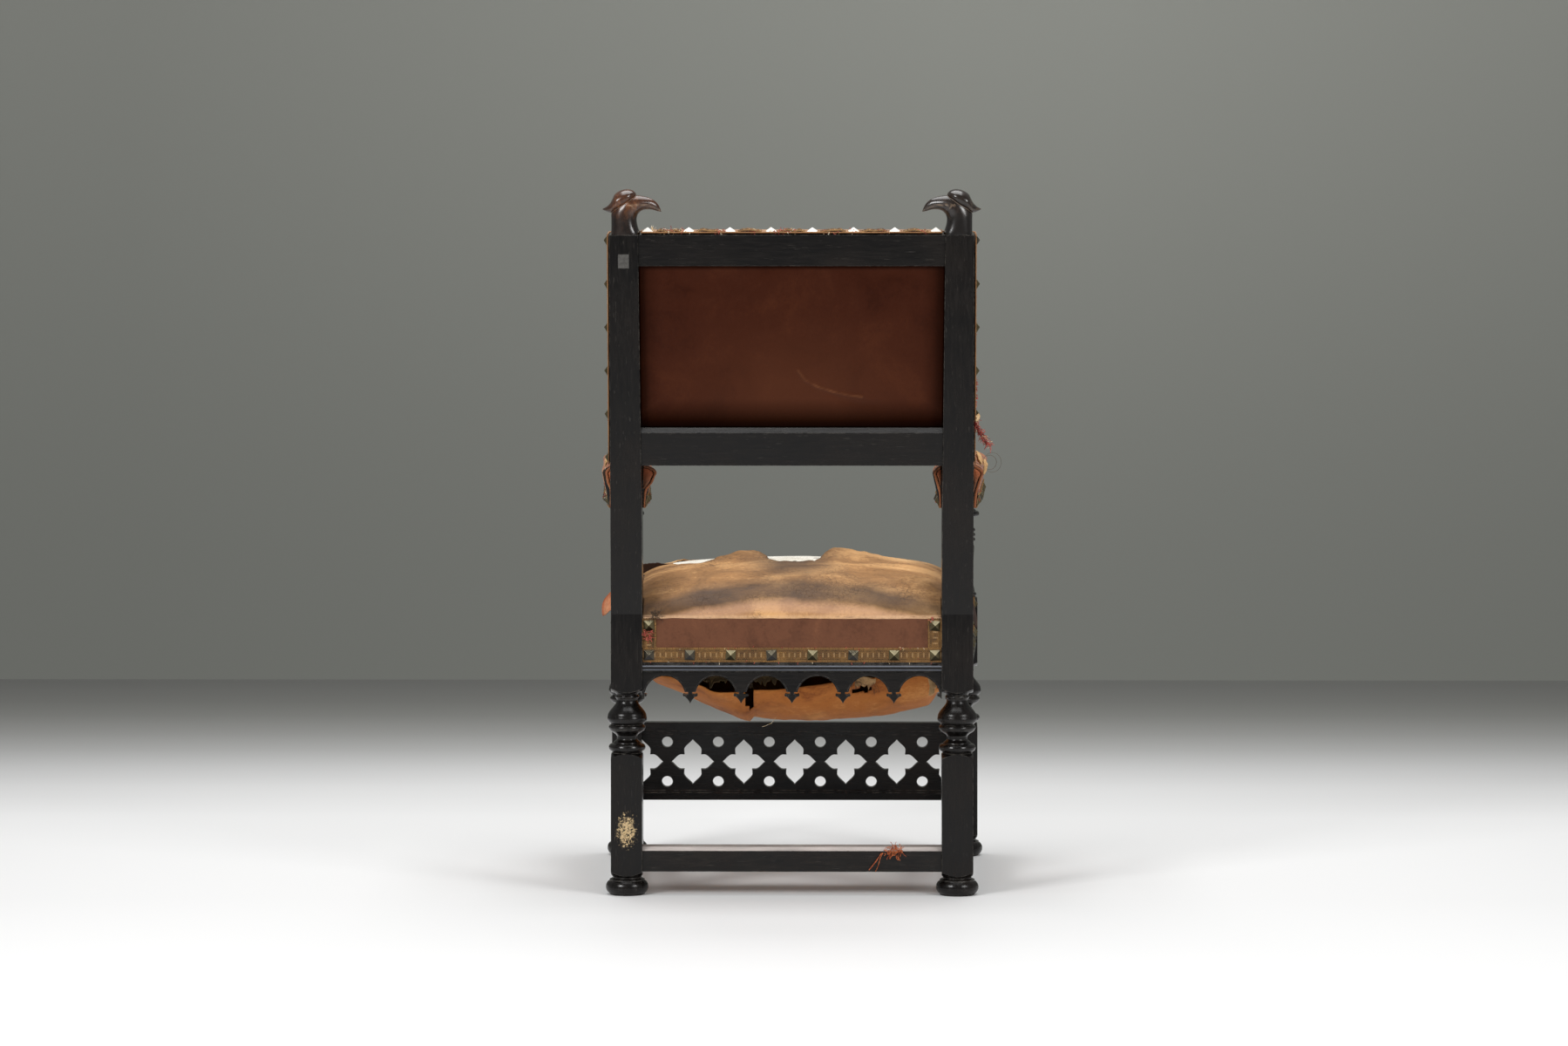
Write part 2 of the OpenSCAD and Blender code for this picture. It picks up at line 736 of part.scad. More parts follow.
module front_stretcher() {
    pitch = front_gap / quatrefoils;
    mid = pierced_z + lower_band_w + (pierced_w - lower_band_w - upper_band_w) / 2 + 3;
    module slab(z, h, t) {
        translate([-front_gap / 2, front_y - t / 2, z]) cube([front_gap, t, h]);
    }
    color(wood_colour) difference() {
        union() {
            slab(pierced_z, pierced_w, pierced_t);
            slab(pierced_z, lower_band_w, pierced_t + 2 * band_rise);
            slab(pierced_z + lower_band_w, 4, pierced_t + band_rise);
            slab(pierced_z + pierced_w - upper_band_w, upper_band_w, pierced_t + band_rise);
            slab(pierced_z + pierced_w - upper_band_w + 6, upper_band_w - 6, pierced_t + 2 * band_rise);
            pierced_bar();
        }
        translate([0, front_y + 50, mid]) rotate([90, 0, 0]) linear_extrude(100) {
            intersection() {
                for (i = [0:quatrefoils]) translate([(i - quatrefoils / 2) * pitch, 0]) quatrefoil();
                square([front_gap, pierced_w], center = true);
            }
            for (i = [0:quatrefoils - 1]) for (side = [-1, 1])
                translate([(i - (quatrefoils - 1) / 2) * pitch, side * round_hole_rise])
                    circle(d = round_hole_d);
        }
    }
}

// Low stretchers

module stretcher_profile() {
    t = stretcher_t / 2;
    top = stretcher_z + stretcher_w;
    polygon([[-t, stretcher_z], [t, stretcher_z], [t, top - stretcher_chamfer],
        [t - stretcher_chamfer, top], [-t, top]]);
}
module rear_stretcher() {
    color(wood_colour) {
        translate([0, rear_y, 0]) across(rear_gap) stretcher_profile();
        rear_stretcher_bar();
    }
}
module side_stretcher_left() {
    color(wood_colour) {
        along_side() stretcher_profile();
        side_stretcher_bar();
    }
}
module side_stretcher_right() {
    on_right() side_stretcher_left();
}

// Glued blocks in the corners of the seat frame, notched round the legs
block_reach = 62;
block_h = 42;
glue = 0.1;
module seat_opening(inset) {
    y0 = front_y - rail_face + rail_t + inset;
    y1 = rear_y + rail_face - rail_t - inset;
    x0 = side_x(y0, rail_face - rail_t - inset);
    x1 = side_x(y1, rail_face - rail_t - inset);
    polygon([[-x0, y0], [x0, y0], [x1, y1], [-x1, y1]]);
}
module corner_blocks() {
    color(raw_wood_colour) on_both() translate([0, 0, rail_top - block_h - 4]) difference() {
        linear_extrude(block_h) intersection() {
            seat_opening(glue);
            union() {
                translate([side_x(rear_y, 0), rear_y]) rotate(225) square(2 * block_reach, center = true);
                translate([side_x(front_y, 0), front_y]) rotate(45) square(2 * block_reach, center = true);
            }
        }
        for (leg = [[rear_span / 2, rear_y], [front_span / 2, front_y]])
            translate([leg.x - half_leg - glue, leg.y - half_leg - glue, -1])
                cube([leg_w + 2 * glue, leg_w + 2 * glue, block_h + 2]);
    }
}

// Seat plan shared by every layer of the seat.
// Rows of points run across the chair, with their corners left out round the legs.

seat_y0 = front_y - rail_face;
seat_y1 = rear_y + rail_face;
leg_clear = 0.4;
notch_front_y = front_y + half_leg + leg_clear;
notch_rear_y = rear_y - half_leg - leg_clear;
notch_front_x = front_span / 2 - half_leg - leg_clear;
notch_rear_x = rear_span / 2 - half_leg - leg_clear;
notch_cells = 2;
inner_cells = 14;
middle_cells = 12;

function clamp01(t) = min(1, max(0, t));
function notch_x(y) = notch_rear_x + (notch_front_x - notch_rear_x)
    * clamp01((notch_rear_y - y) / (notch_rear_y - notch_front_y));
// Evenly spaced values with finer steps near both ends
function eased(from, to, steps) = [
    for (i = [0:steps]) let (t = i / steps) from + (to - from) * (t - sin(360 * t) / 13)
];
function seat_rows(out) = concat(
    [for (i = [0:notch_cells - 1]) seat_y0 - out + (notch_front_y - seat_y0 + out) * i / notch_cells],
    eased(notch_front_y, notch_rear_y, middle_cells),
    [for (i = [1:notch_cells]) notch_rear_y + (seat_y1 + out - notch_rear_y) * i / notch_cells]
);
function seat_columns(y, out) = let (
    inner = notch_x(y),
    outer = side_x(min(max(y, seat_y0), seat_y1), rail_face + out)
) concat(
    [for (i = [0:notch_cells - 1]) -outer + (outer - inner) * i / notch_cells],
    eased(-inner, inner, inner_cells),
    [for (i = [1:notch_cells]) inner + (outer - inner) * i / notch_cells]
);
column_count = inner_cells + 2 * notch_cells;
row_count = middle_cells + 2 * notch_cells;
seat_keep = [for (i = [0:column_count - 1]) [for (j = [0:row_count - 1])
    let (side = i < notch_cells || i >= column_count - notch_cells,
        end = j < notch_cells || j >= row_count - notch_cells) !(side && end)]];

// Height of the stuffed seat: a crown drawn in towards the edges, with the two ridges
// that the split leather has taken
seat_mid_y = (seat_y0 + seat_y1) / 2;
seat_half = (seat_y1 - seat_y0) / 2;
ridge_h = 9;
ridges = [[62, 20, 44], [-62, 26, 40]];
function bulge(t, fullness) = pow(max(0, 1 - t * t), fullness);
across_fullness = 0.28;
along_fullness = 0.56;
function seat_z(x, y, out) = let (
    a = min(1, abs(x) / side_x(y, rail_face + out)),
    b = min(1, abs(y - seat_mid_y) / (seat_half + out))
) seat_edge_z + seat_crown * bulge(a, across_fullness) * bulge(b, along_fullness);
function ridge(x, y) = ridge_h * max([for (r = ridges)
    exp(-pow((x - r[0]) / r[2], 2) - pow((y - seat_mid_y - r[1]) / 60, 2))]);

function seat_sheet(out, rise, ridged = false) = let (rows = seat_rows(out))
    [for (i = [0:column_count]) [for (y = rows) let (x = seat_columns(y, out)[i])
        [x, y, seat_z(x, y, out) + rise + (ridged ? ridge(x, y) : 0)]]];
function level_sheet(sheet, z) = [for (row = sheet) [for (p = row) [p.x, p.y, z]]];

web_z = rail_top;
hessian_z = web_z + 2 * web_t + glue;
stuffing_z = hessian_z + hessian_t;
cover_rise = layer_gap;
leather_rise = cover_rise + cover_t + layer_gap;

web_count = 5;
module seat_webbing() {
    depth = seat_y1 - seat_y0 - 2 * rail_recess;
    step = (leg_depth - leg_w - web_w) / (web_count - 1);
    color(web_colour) {
        for (i = [0:web_count - 1]) let (y = notch_front_y + web_w / 2 + i * step, x = side_x(y, rail_face - 8))
            translate([-x, y - web_w / 2 - leg_clear, web_z]) cube([2 * x, web_w, web_t]);
        for (i = [0:web_count - 1])
            translate([(i - (web_count - 1) / 2) * (rear_gap - web_w - 8) / (web_count - 1) - web_w / 2,
                seat_y0 + rail_recess, web_z + web_t + glue]) cube([web_w, depth, web_t]);
    }
}
module seat_hessian() {
    rows = seat_rows(-rail_recess / 2);
    y0 = rows[0];
    y1 = rows[row_count];
    color(web_colour) translate([0, 0, hessian_z]) linear_extrude(hessian_t) difference() {
        polygon([
            [-side_x(y0, rail_face - 4), y0], [side_x(y0, rail_face - 4), y0],
            [side_x(y1, rail_face - 4), y1], [-side_x(y1, rail_face - 4), y1]
        ]);
        for (side = [-1, 1]) for (leg = [[rear_span / 2, rear_y], [front_span / 2, front_y]])
            translate([side * leg.x, leg.y]) square(leg_w + 2 * leg_clear, center = true);
    }
}
module seat_stuffing() {
    upper = seat_sheet(-cover_t - 2 * layer_gap, 0);
    color(hair_colour) sheet_solid(upper, level_sheet(upper, stuffing_z), seat_keep);
}
module seat_undercover() {
    color(white_colour) sheet_solid(seat_sheet(-layer_gap, cover_rise + cover_t),
        seat_sheet(-layer_gap, cover_rise), seat_keep);
}
// Ragged opening where the leather has split from the crown forwards
tear = [
    [206, 18], [194, 50], [165, 66], [143, 50], [128, 20], [100, 5], [70, 2], [52, 20], [40, 58],
    [20, 74], [-10, 78], [-34, 66], [-46, 30], [-58, 4], [-82, -8], [-120, -26], [-158, -66],
    [-172, -126], [-124, -184], [-44, -206], [40, -204], [112, -190], [168, -152], [196, -90], [212, -30]
];
module seat_leather() {
    color(tan_colour) difference() {
        sheet_solid(seat_sheet(leather_t, leather_rise + leather_t, true),
            seat_sheet(leather_t, leather_rise, true), seat_keep);
        translate([0, seat_mid_y, seat_edge_z]) linear_extrude(seat_crown * 2) polygon(tear);
    }
}

// Strips on the four faces of the seat, a set distance out from the leg centre lines
module face_strips(out, t, z, h, gap) {
    translate([-rear_gap / 2 + gap, rear_y + out, z]) cube([rear_gap - 2 * gap, t, h]);
    translate([-front_gap / 2 + gap, front_y - out - t, z]) cube([front_gap - 2 * gap, t, h]);
    on_both() between_legs(gap) beside()
        translate([out, -leg_depth / cos(splay), z]) cube([t, leg_depth / cos(splay), h]);
}
border_z = rail_z + mould_h;
border_top = seat_edge_z + leather_rise;
module seat_borders() {
    color(border_colour) face_strips(rail_face, leather_t, border_z, border_top - border_z, leg_clear);
}

gallon_out = rail_face + leather_t;
upright_w = gallon_w - 4;
module seat_gallon() {
    upright_h = border_top - border_z - gallon_w + 1;
    z = border_z + gallon_w - 1;
    color(gallon_colour) {
        face_strips(gallon_out, gallon_t, border_z, gallon_w, leg_clear);
        for (side = [-1, 1]) {
            translate([side * (rear_gap / 2 - leg_clear - upright_w / 2) - upright_w / 2, rear_y + gallon_out, z])
                cube([upright_w, gallon_t, upright_h]);
            translate([side * (front_gap / 2 - leg_clear - upright_w / 2) - upright_w / 2,
                front_y - gallon_out - gallon_t, z]) cube([upright_w, gallon_t, upright_h]);
        }
        on_both() for (end = [0, 1]) intersection() {
            beside() translate([gallon_out, -leg_depth / cos(splay), z])
                cube([gallon_t, leg_depth / cos(splay), upright_h]);
            translate([0, (end == 0 ? front_y + half_leg + leg_clear
                : rear_y - half_leg - leg_clear - upright_w), 0]) cube([front_span, upright_w, 1300]);
        }
    }
}

// Nail with a pyramid head, its underside on Z = 0
module nail() {
    w = nail_w / 2;
    rim = nail_h * 0.17;
    polyhedron(
        points = [[-w, -w, 0], [w, -w, 0], [w, w, 0], [-w, w, 0],
            [-w, -w, rim], [w, -w, rim], [w, w, rim], [-w, w, rim], [0, 0, nail_h]],
        faces = [[0, 1, 2, 3], [0, 4, 5, 1], [1, 5, 6, 2], [2, 6, 7, 3], [3, 7, 4, 0],
            [4, 8, 5], [5, 8, 6], [6, 8, 7], [7, 8, 4]]
    );
}
// Places of nails between two ends, close to the wanted distance apart
function nail_places(from, to) = let (n = max(1, round(abs(to - from) / nail_pitch)))
    [for (i = [0:n]) from + (to - from) * i / n];
nail_margin = nail_w / 2 + 2;
module seat_nails() {
    out = gallon_out + gallon_t;
    z = border_z + gallon_w / 2;
    high = border_top - nail_w / 2 - 4;
    rear_end = rear_gap / 2 - leg_clear - nail_margin;
    front_end = front_gap / 2 - leg_clear - nail_margin;
    side_from = half_leg + leg_clear + nail_margin;
    side_to = leg_depth / cos(splay) - side_from;
    color(nail_colour) {
        translate([0, rear_y + out, 0]) {
            for (x = nail_places(-rear_end, rear_end)) translate([x, 0, z]) rotate([-90, 0, 0]) nail();
            for (x = [-rear_end, rear_end]) translate([x, 0, high]) rotate([-90, 0, 0]) nail();
        }
        translate([0, front_y - out, 0]) {
            for (x = nail_places(-front_end, front_end)) translate([x, 0, z]) rotate([90, 0, 0]) nail();
            for (x = [-front_end, front_end]) translate([x, 0, high]) rotate([90, 0, 0]) nail();
        }
        on_both() beside() translate([out, 0, 0]) {
            for (s = nail_places(side_from, side_to)) translate([0, -s, z]) rotate([0, 90, 0]) nail();
            for (s = [side_from, side_to]) translate([0, -s, high]) rotate([0, 90, 0]) nail();
        }
    }
}

// Torn leather sheet below the seat. It is nailed under the side and front rails
// and has come away from the rear rail, where it hangs.
under_inset = apron_t + 2;
under_columns = 18;
under_rows = 14;
function under_edge(y) = side_x(y, rail_face - under_inset);
function under_y(j) = let (t = j / under_rows)
    notch_front_y + 1 + (notch_rear_y - notch_front_y - 12) * t;
function under_drop(x, y) = let (
    a = abs(x) / under_edge(y),
    v = (y - under_y(0)) / (under_y(under_rows) - under_y(0)),
    hang = v < 0.62 ? sin(145 * v) : 1 - 0.66 * pow((v - 0.62) / 0.38, 2)
) under_sag * pow(max(0, 1 - pow(a, 2.4)), 0.8) * hang * (1 - 0.13 * x / under_edge(y));
function under_sheet(rise) = [for (i = [0:under_columns]) [for (j = [0:under_rows])
    let (y = under_y(j), t = 2 * i / under_columns - 1, x = under_edge(y) * sin(90 * t))
    [x, y, rail_z - layer_gap - leather_t + rise - under_drop(x, y)]]];
under_keep = [for (i = [0:under_columns - 1]) [for (j = [0:under_rows - 1]) true]];
// The split in its hanging edge
under_split = [[70, 4], [78, -60], [84, -124], [88, -60], [92, 4]];
module under_seat_leather() {
    color(under_colour) difference() {
        sheet_solid(under_sheet(leather_t), under_sheet(0), under_keep);
        translate([0, under_y(under_rows), rail_z - 2 * under_sag]) linear_extrude(2 * under_sag)
            polygon(under_split);
    }
}

// Upholstery of the back, drawn in the leaning frame

low_rail_top = low_rail_pos + low_rail_w;
opening_top = back_len - top_rail_w;
strip_w = 12;
strip_t = 14;
strip_y = 12;
module back_tacking_strips() {
    h = opening_top - low_rail_top;
    inner = rear_gap / 2 - strip_w;
    color(raw_wood_colour) {
        between_posts() on_both() translate([inner, strip_y, low_rail_top]) cube([2 * strip_w, strip_t, h]);
        leaning() for (up = [low_rail_top, opening_top - strip_w])
            translate([-inner + glue, strip_y, up]) cube([2 * inner - 2 * glue, strip_t, strip_w]);
    }
}
panel_y = strip_y + strip_t;
panel_crown = 5;
panel_cells = 10;
// Half the width between the posts at a height up the back
function back_opening(up) = rear_gap / 2 + (leg_w - post_top_w)
    * clamp01((lean(panel_y + leather_t + panel_crown, up)[1] - taper_z) / (post_top_z - taper_z));
function panel_sheet(rise) = [for (i = [0:panel_cells]) [for (j = [0:panel_cells])
    let (a = 2 * i / panel_cells - 1, b = 2 * j / panel_cells - 1,
        up = (opening_top + low_rail_top) / 2 + ((opening_top - low_rail_top) / 2 - leg_clear) * b)
    [(back_opening(up) - leg_clear) * a, up, panel_y + layer_gap + rise
        + panel_crown * pow((1 - pow(a, 4)) * (1 - pow(b, 4)), 0.7)]]];
panel_keep = [for (i = [1:panel_cells]) [for (j = [1:panel_cells]) true]];
module outer_back_panel() {
    color(panel_colour) leaning() rotate([-90, 0, 0]) mirror([0, 1, 0])
        sheet_solid(panel_sheet(leather_t), panel_sheet(0), panel_keep);
}
back_web_x = 4;
back_web_z = 3;
module back_webbing() {
    w = rear_gap - web_w;
    h = opening_top - low_rail_top - web_w;
    color(web_colour) leaning() {
        for (i = [0:back_web_x - 1]) translate([-w / 2 + w * (i + 0.5) / back_web_x - web_w / 2, -web_t,
            low_rail_top - 20]) cube([web_w, web_t, opening_top - low_rail_top + 40]);
        for (i = [0:back_web_z - 1]) translate([-rear_gap / 2 - 20, -2 * web_t - glue,
            low_rail_top + h * (i + 0.5) / back_web_z]) cube([rear_gap + 40, web_t, web_w]);
    }
}
// Stuffing on the front of the back: thin along its lower margin, where the cover is nailed
back_half_w = rear_span / 2 + half_leg;
back_cells_x = 14;
back_cells_z = 12;
margin_h = gallon_w + 2;
back_edge = 7;
back_base = 2 * web_t + glue + layer_gap;
function back_depth(x, up) = let (
    a = min(1, abs(x) / back_half_w),
    b = min(1, abs(up - (low_rail_pos + back_len) / 2) / ((back_len - low_rail_pos) / 2)),
    m = clamp01((up - low_rail_pos - margin_h) / 28)
) 1 + m * m * (3 - 2 * m) * (back_edge + back_crown * pow((1 - pow(a, 3)) * (1 - pow(b, 3)), 0.7));
function back_columns(inset) = concat([inset - back_half_w],
    eased(-rear_gap / 2, rear_gap / 2, back_cells_x - 2), [back_half_w - inset]);
function back_rows(inset) = [for (j = [0:back_cells_z]) let (s = j / back_cells_z)
    low_rail_pos + (back_len - inset - low_rail_pos) * (s - 0.04 * sin(360 * s))];
function back_sheet(inset, rise) = [for (x = back_columns(inset)) [for (up = back_rows(inset))
    [x, up, back_base + rise + back_depth(x, up)]]];
back_keep = [for (i = [1:back_cells_x]) [for (j = [1:back_cells_z]) true]];
// The same sheet turned back round the posts and, between them, over the top rail
function behind(points) = [for (p = points) [p.x, p.y, -wrap_y]];
function back_wrap(inset, rise) = let (
    sheet = back_sheet(inset, rise),
    full = concat([behind(sheet[0])], sheet, [behind(sheet[back_cells_x])])
) [for (column = full) concat(column, behind([column[back_cells_z]]))];
wrap_keep = [for (i = [0:back_cells_x + 1]) [for (j = [0:back_cells_z])
    j < back_cells_z || (i > 1 && i < back_cells_x)]];
// Sheets of the back are drawn lying down and stood up to face the sitter
module facing_front() {
    leaning() rotate([90, 0, 0]) children();
}
module back_stuffing() {
    upper = back_sheet(layer_gap, 0);
    color(hair_colour) facing_front()
        sheet_solid(upper, level_sheet(upper, back_base), back_keep);
}
wrap_y = 31;
wrap_t = leather_t + glue;
module back_leather() {
    color(tan_colour) facing_front() sheet_solid(back_wrap(-wrap_t, layer_gap + leather_t),
        back_wrap(-glue, layer_gap), wrap_keep);
}
module back_gallon() {
    y = wrap_y - gallon_w - 1;
    low = back_base + layer_gap + 1 + leather_t;
    color(gallon_colour) leaning() {
        on_both() translate([back_half_w + wrap_t, y, low_rail_pos])
            cube([gallon_t, gallon_w, back_len - low_rail_pos]);
        translate([-rear_gap / 2, y, back_len + wrap_t]) cube([rear_gap, gallon_w, gallon_t]);
        translate([-back_half_w, -low - gallon_t, low_rail_pos]) cube([2 * back_half_w, gallon_t, gallon_w]);
    }
}
module back_nails() {
    y = wrap_y - gallon_w / 2 - 1;
    low = back_base + layer_gap + 1 + leather_t + gallon_t;
    first = low_rail_pos + nail_margin;
    color(nail_colour) leaning() {
        on_both() for (up = nail_places(first, back_len - nail_margin))
            translate([back_half_w + wrap_t + gallon_t, y, up]) rotate([0, 90, 0]) nail();
        for (x = nail_places(-rear_gap / 2 + nail_margin, rear_gap / 2 - nail_margin))
            translate([x, y, back_len + wrap_t + gallon_t]) nail();
        for (x = nail_places(-back_half_w + nail_margin, back_half_w - nail_margin))
            translate([x, -low, low_rail_pos + gallon_w / 2]) rotate([90, 0, 0]) nail();
    }
}

// Arms: one flaring section is carried from the back post to just past the front leg

arm_widest_z = arm_z + arm_pad_h - 14;
// Half width of the stuffed arm at a height, on its straight flanks
function arm_half(z) = arm_foot_w / 2 + (arm_pad_w - arm_foot_w) / 2 * (z - arm_z) / (arm_widest_z - arm_z);
arm_slope = atan((arm_pad_w - arm_foot_w) / 2 / (arm_widest_z - arm_z));
// Section between two heights, grown outwards
module arm_section(from, to, grow) {
    polygon(concat(
        [[-arm_half(from) - grow, from], [arm_half(from) + grow, from]],
        to <= arm_widest_z ? [[arm_half(to) + grow, to], [-arm_half(to) - grow, to]]
            : [for (p = arc(0, arm_widest_z, arm_pad_w / 2 + grow, to - arm_widest_z, 0, 180, 14)) p]
    ));
}
arm_front_y = front_y - arm_reach + leather_t + gallon_t;
arm_nose = 12;
// The section carried along the left arm, with a drawn-in nose, before it meets the post
module arm_run(from, to, grow, nose_grow) {
    dip = to > arm_widest_z ? 5 : 0;
    hull() {
        arm_slice(rear_y + 60, from, to, grow);
        arm_slice(arm_front_y - nose_grow + arm_nose, from, to, grow);
        arm_slice(arm_front_y - nose_grow, from, to - dip, grow - 6);
    }
}
module arm_slice(y, from, to, grow) {
    translate([side_x(y, 0), y + 0.1, 0]) rotate([90, 0, 0]) linear_extrude(0.1) arm_section(from, to, grow);
}
// Everything in front of the leaning faces of the back posts
module before_post(gap = 0) {
    intersection() {
        children();
        leaning() translate([0, -leg_depth * 2 - gap, -back_len]) cube([front_span * 2, leg_depth * 2, back_len * 2]);
    }
}
arm_rail_top = arm_z + arm_rail_w;
module arm_rail_left() {
    color(wood_colour) difference() {
        union() {
            before_post() arm_run(arm_z, arm_rail_top, 0, 0);
            arm_bar();
        }
        support_dowel(fit);
    }
}
module arm_rail_right() {
    on_right() arm_rail_left();
}
module arm_stuffing_left() {
    color(hair_colour) before_post(layer_gap) arm_run(arm_rail_top, arm_z + arm_pad_h, 0, 0);
}
module arm_stuffing_right() {
    on_right() arm_stuffing_left();
}
module arm_leather_left() {
    color(tan_colour) before_post(layer_gap) difference() {
        arm_run(arm_z, arm_z + arm_pad_h + layer_gap + leather_t, layer_gap + leather_t, leather_t);
        arm_run(arm_z - overrun, arm_z + arm_pad_h + layer_gap, layer_gap, layer_gap);
    }
}
module arm_leather_right() {
    on_right() arm_leather_left();
}
module arm_gallon_left() {
    skin = layer_gap + leather_t;
    color(gallon_colour) before_post(layer_gap) difference() {
        arm_run(arm_z, arm_z + gallon_w, skin + gallon_t, leather_t + gallon_t);
        arm_run(arm_z - 1, arm_z + gallon_w + 1, skin, leather_t);
    }
}
module arm_gallon_right() {
    on_right() arm_gallon_left();
}
module arm_nails_left() {
    z = arm_z + gallon_w / 2;
    out = arm_half(z) + layer_gap + leather_t + gallon_t;
    from = half_leg + 28;
    to = leg_depth / cos(splay) + arm_reach - arm_nose - nail_margin - 4;
    color(nail_colour) for (side = [-1, 1]) for (s = nail_places(from, to))
        beside() translate([side * out, -s, z]) rotate([0, side * (90 + arm_slope), 0]) nail();
}
module arm_nails_right() {
    on_right() arm_nails_left();
}

rear_post_left();
rear_post_right();
front_leg_left();
front_leg_right();
finial_left();
finial_right();
top_rail();
lower_back_rail();
seat_rail_rear();
seat_rail_front();
seat_rail_left();
seat_rail_right();
apron_rear();
apron_front();
apron_left();
apron_right();
front_stretcher();
rear_stretcher();
side_stretcher_left();
side_stretcher_right();
arm_rail_left();
arm_rail_right();
corner_blocks();
back_tacking_strips();
seat_webbing();
seat_hessian();
seat_stuffing();
seat_undercover();
seat_leather();
seat_borders();
under_seat_leather();
back_webbing();
back_stuffing();
back_leather();
outer_back_panel();
arm_stuffing_left();
arm_stuffing_right();
arm_leather_left();
arm_leather_right();
seat_gallon();
back_gallon();
arm_gallon_left();
arm_gallon_right();
seat_nails();
back_nails();
arm_nails_left();
arm_nails_right();
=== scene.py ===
# %% [markdown]
# # A revival throne chair, seen from behind
# The chair is a frame of black-stained wood with torn leather on the seat, the back and the arms.
# The wooden pieces come ready made from the CAD frame. This lesson gives them their finish, and
# makes the leather, the woven gallon, the nails and the carved heads that are laid over that frame.
# All sizes below are in millimetres, and turn into Blender's metres when a mesh is made.

# %% The fixed frame
import math
import random
import bmesh
import bpy
from mathutils import Matrix, Vector, noise


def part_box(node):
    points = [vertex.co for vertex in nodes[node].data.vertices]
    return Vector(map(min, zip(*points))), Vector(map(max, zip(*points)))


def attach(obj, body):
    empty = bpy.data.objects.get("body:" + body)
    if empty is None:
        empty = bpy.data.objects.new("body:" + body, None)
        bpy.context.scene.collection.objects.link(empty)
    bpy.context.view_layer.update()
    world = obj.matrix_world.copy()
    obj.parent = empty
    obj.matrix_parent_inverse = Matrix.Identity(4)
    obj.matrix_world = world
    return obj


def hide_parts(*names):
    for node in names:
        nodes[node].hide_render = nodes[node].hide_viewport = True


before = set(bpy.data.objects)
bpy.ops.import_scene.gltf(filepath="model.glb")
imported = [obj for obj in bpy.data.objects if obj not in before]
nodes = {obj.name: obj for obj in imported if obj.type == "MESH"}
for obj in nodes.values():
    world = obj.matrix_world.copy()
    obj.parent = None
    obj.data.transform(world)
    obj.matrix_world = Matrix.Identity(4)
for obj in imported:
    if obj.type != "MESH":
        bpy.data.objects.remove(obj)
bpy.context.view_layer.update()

MM = 0.001


def span(node):
    """Lowest and highest corners of a CAD node, in millimetres."""
    low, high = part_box(node)
    return low / MM, high / MM


# %% [markdown]
# ## The chair's main sizes
# Each cover has to sit on the wood that carries it. So the places of the posts, legs and rails are
# measured from the frame first, and everything after this is laid out from them.

# %% Measured places
low, high = span("rear_stretcher")
REAR_Y = (low.y + high.y) / 2
low, high = span("front_stretcher")
FRONT_Y = (low.y + high.y) / 2
LEG = 52
HALF_LEG = LEG / 2
REAR_SPAN, FRONT_SPAN = 549, 595
DEPTH = REAR_Y - FRONT_Y
SPLAY = math.atan((FRONT_SPAN - REAR_SPAN) / 2 / DEPTH)
RAKE = math.radians(6.5)
RAKE_Z = 470
BACK_LEN = 634
POST_SIDE = REAR_SPAN / 2 + HALF_LEG
RAIL_FACE = HALF_LEG - 8
print("rear legs at", round(REAR_Y, 2), "front legs at", round(FRONT_Y, 2))


def leaning(x, y, up):
    """A point given across, behind and up the front of the leaning posts."""
    return Vector((x, REAR_Y - HALF_LEG + y * math.cos(RAKE) + up * math.sin(RAKE),
                   RAKE_Z + up * math.cos(RAKE) - y * math.sin(RAKE)))


def side_x(y, out):
    """X of a line beside the seat, set off outwards from the leg centres."""
    return REAR_SPAN / 2 + (REAR_Y - y) * math.tan(SPLAY) + out / math.cos(SPLAY)


# %% [markdown]
# ## Camera
# The picture was taken square-on from behind, from about eight metres away, with the lens level with
# the chair's back. A long lens that far off keeps the upright lines upright. The frame is then moved
# down with a small shift instead of tilting the camera.

# %% Camera behind the chair


def add_object(name, data):
    """A new object in the scene."""
    item = bpy.data.objects.new(name, data)
    bpy.context.scene.collection.objects.link(item)
    return item


CAMERA_AWAY, CAMERA_UP, CAMERA_ASIDE, CAMERA_TURN = 7.599, 1.036, -0.0706, 180.634
camera_data = bpy.data.cameras.new("camera")
camera_data.sensor_width = 36
camera_data.lens = 104.88
camera_data.shift_y = -0.1606
camera_data.clip_end = 60
camera = add_object("camera", camera_data)
camera.location = (CAMERA_ASIDE, REAR_Y * MM + CAMERA_AWAY, CAMERA_UP)
camera.rotation_euler = (math.radians(90), 0, math.radians(CAMERA_TURN))
bpy.context.scene.camera = camera
bpy.context.scene.view_settings.view_transform = "Standard"

# %% [markdown]
# ## Floor and backdrop
# The studio has a pale floor, and a grey-green wall far behind its edge. Both are plain sheets, and
# neither belongs to the chair. The wall stands far enough back to walk round the chair in front of it.
# The floor darkens towards its far edge, and the wall darkens downwards and sideways. Both fades are
# painted shade, set by each sheet's own place, so no lamp has to make them.
# The helpers that build node trees come first. A wire stands for what comes out of a node, and a sum
# or a product of wires adds the nodes that work it out, so a finish reads like a formula.

# %% Wires that work like numbers


class Wire:
    """What comes out of a shader node. Sums, products and comparisons of wires add their own nodes."""

    def __init__(self, socket):
        self.socket = socket
        self.tree = socket.id_data

    def __add__(self, other):
        return maths("ADD", self, other)

    def __sub__(self, other):
        return maths("SUBTRACT", self, other)

    def __mul__(self, other):
        return maths("MULTIPLY", self, other)

    def __truediv__(self, other):
        return maths("DIVIDE", self, other)

    def __gt__(self, other):
        return maths("GREATER_THAN", self, other)

    def __lt__(self, other):
        return maths("LESS_THAN", self, other)

    def __abs__(self):
        return maths("ABSOLUTE", self)


# %% Nodes and materials


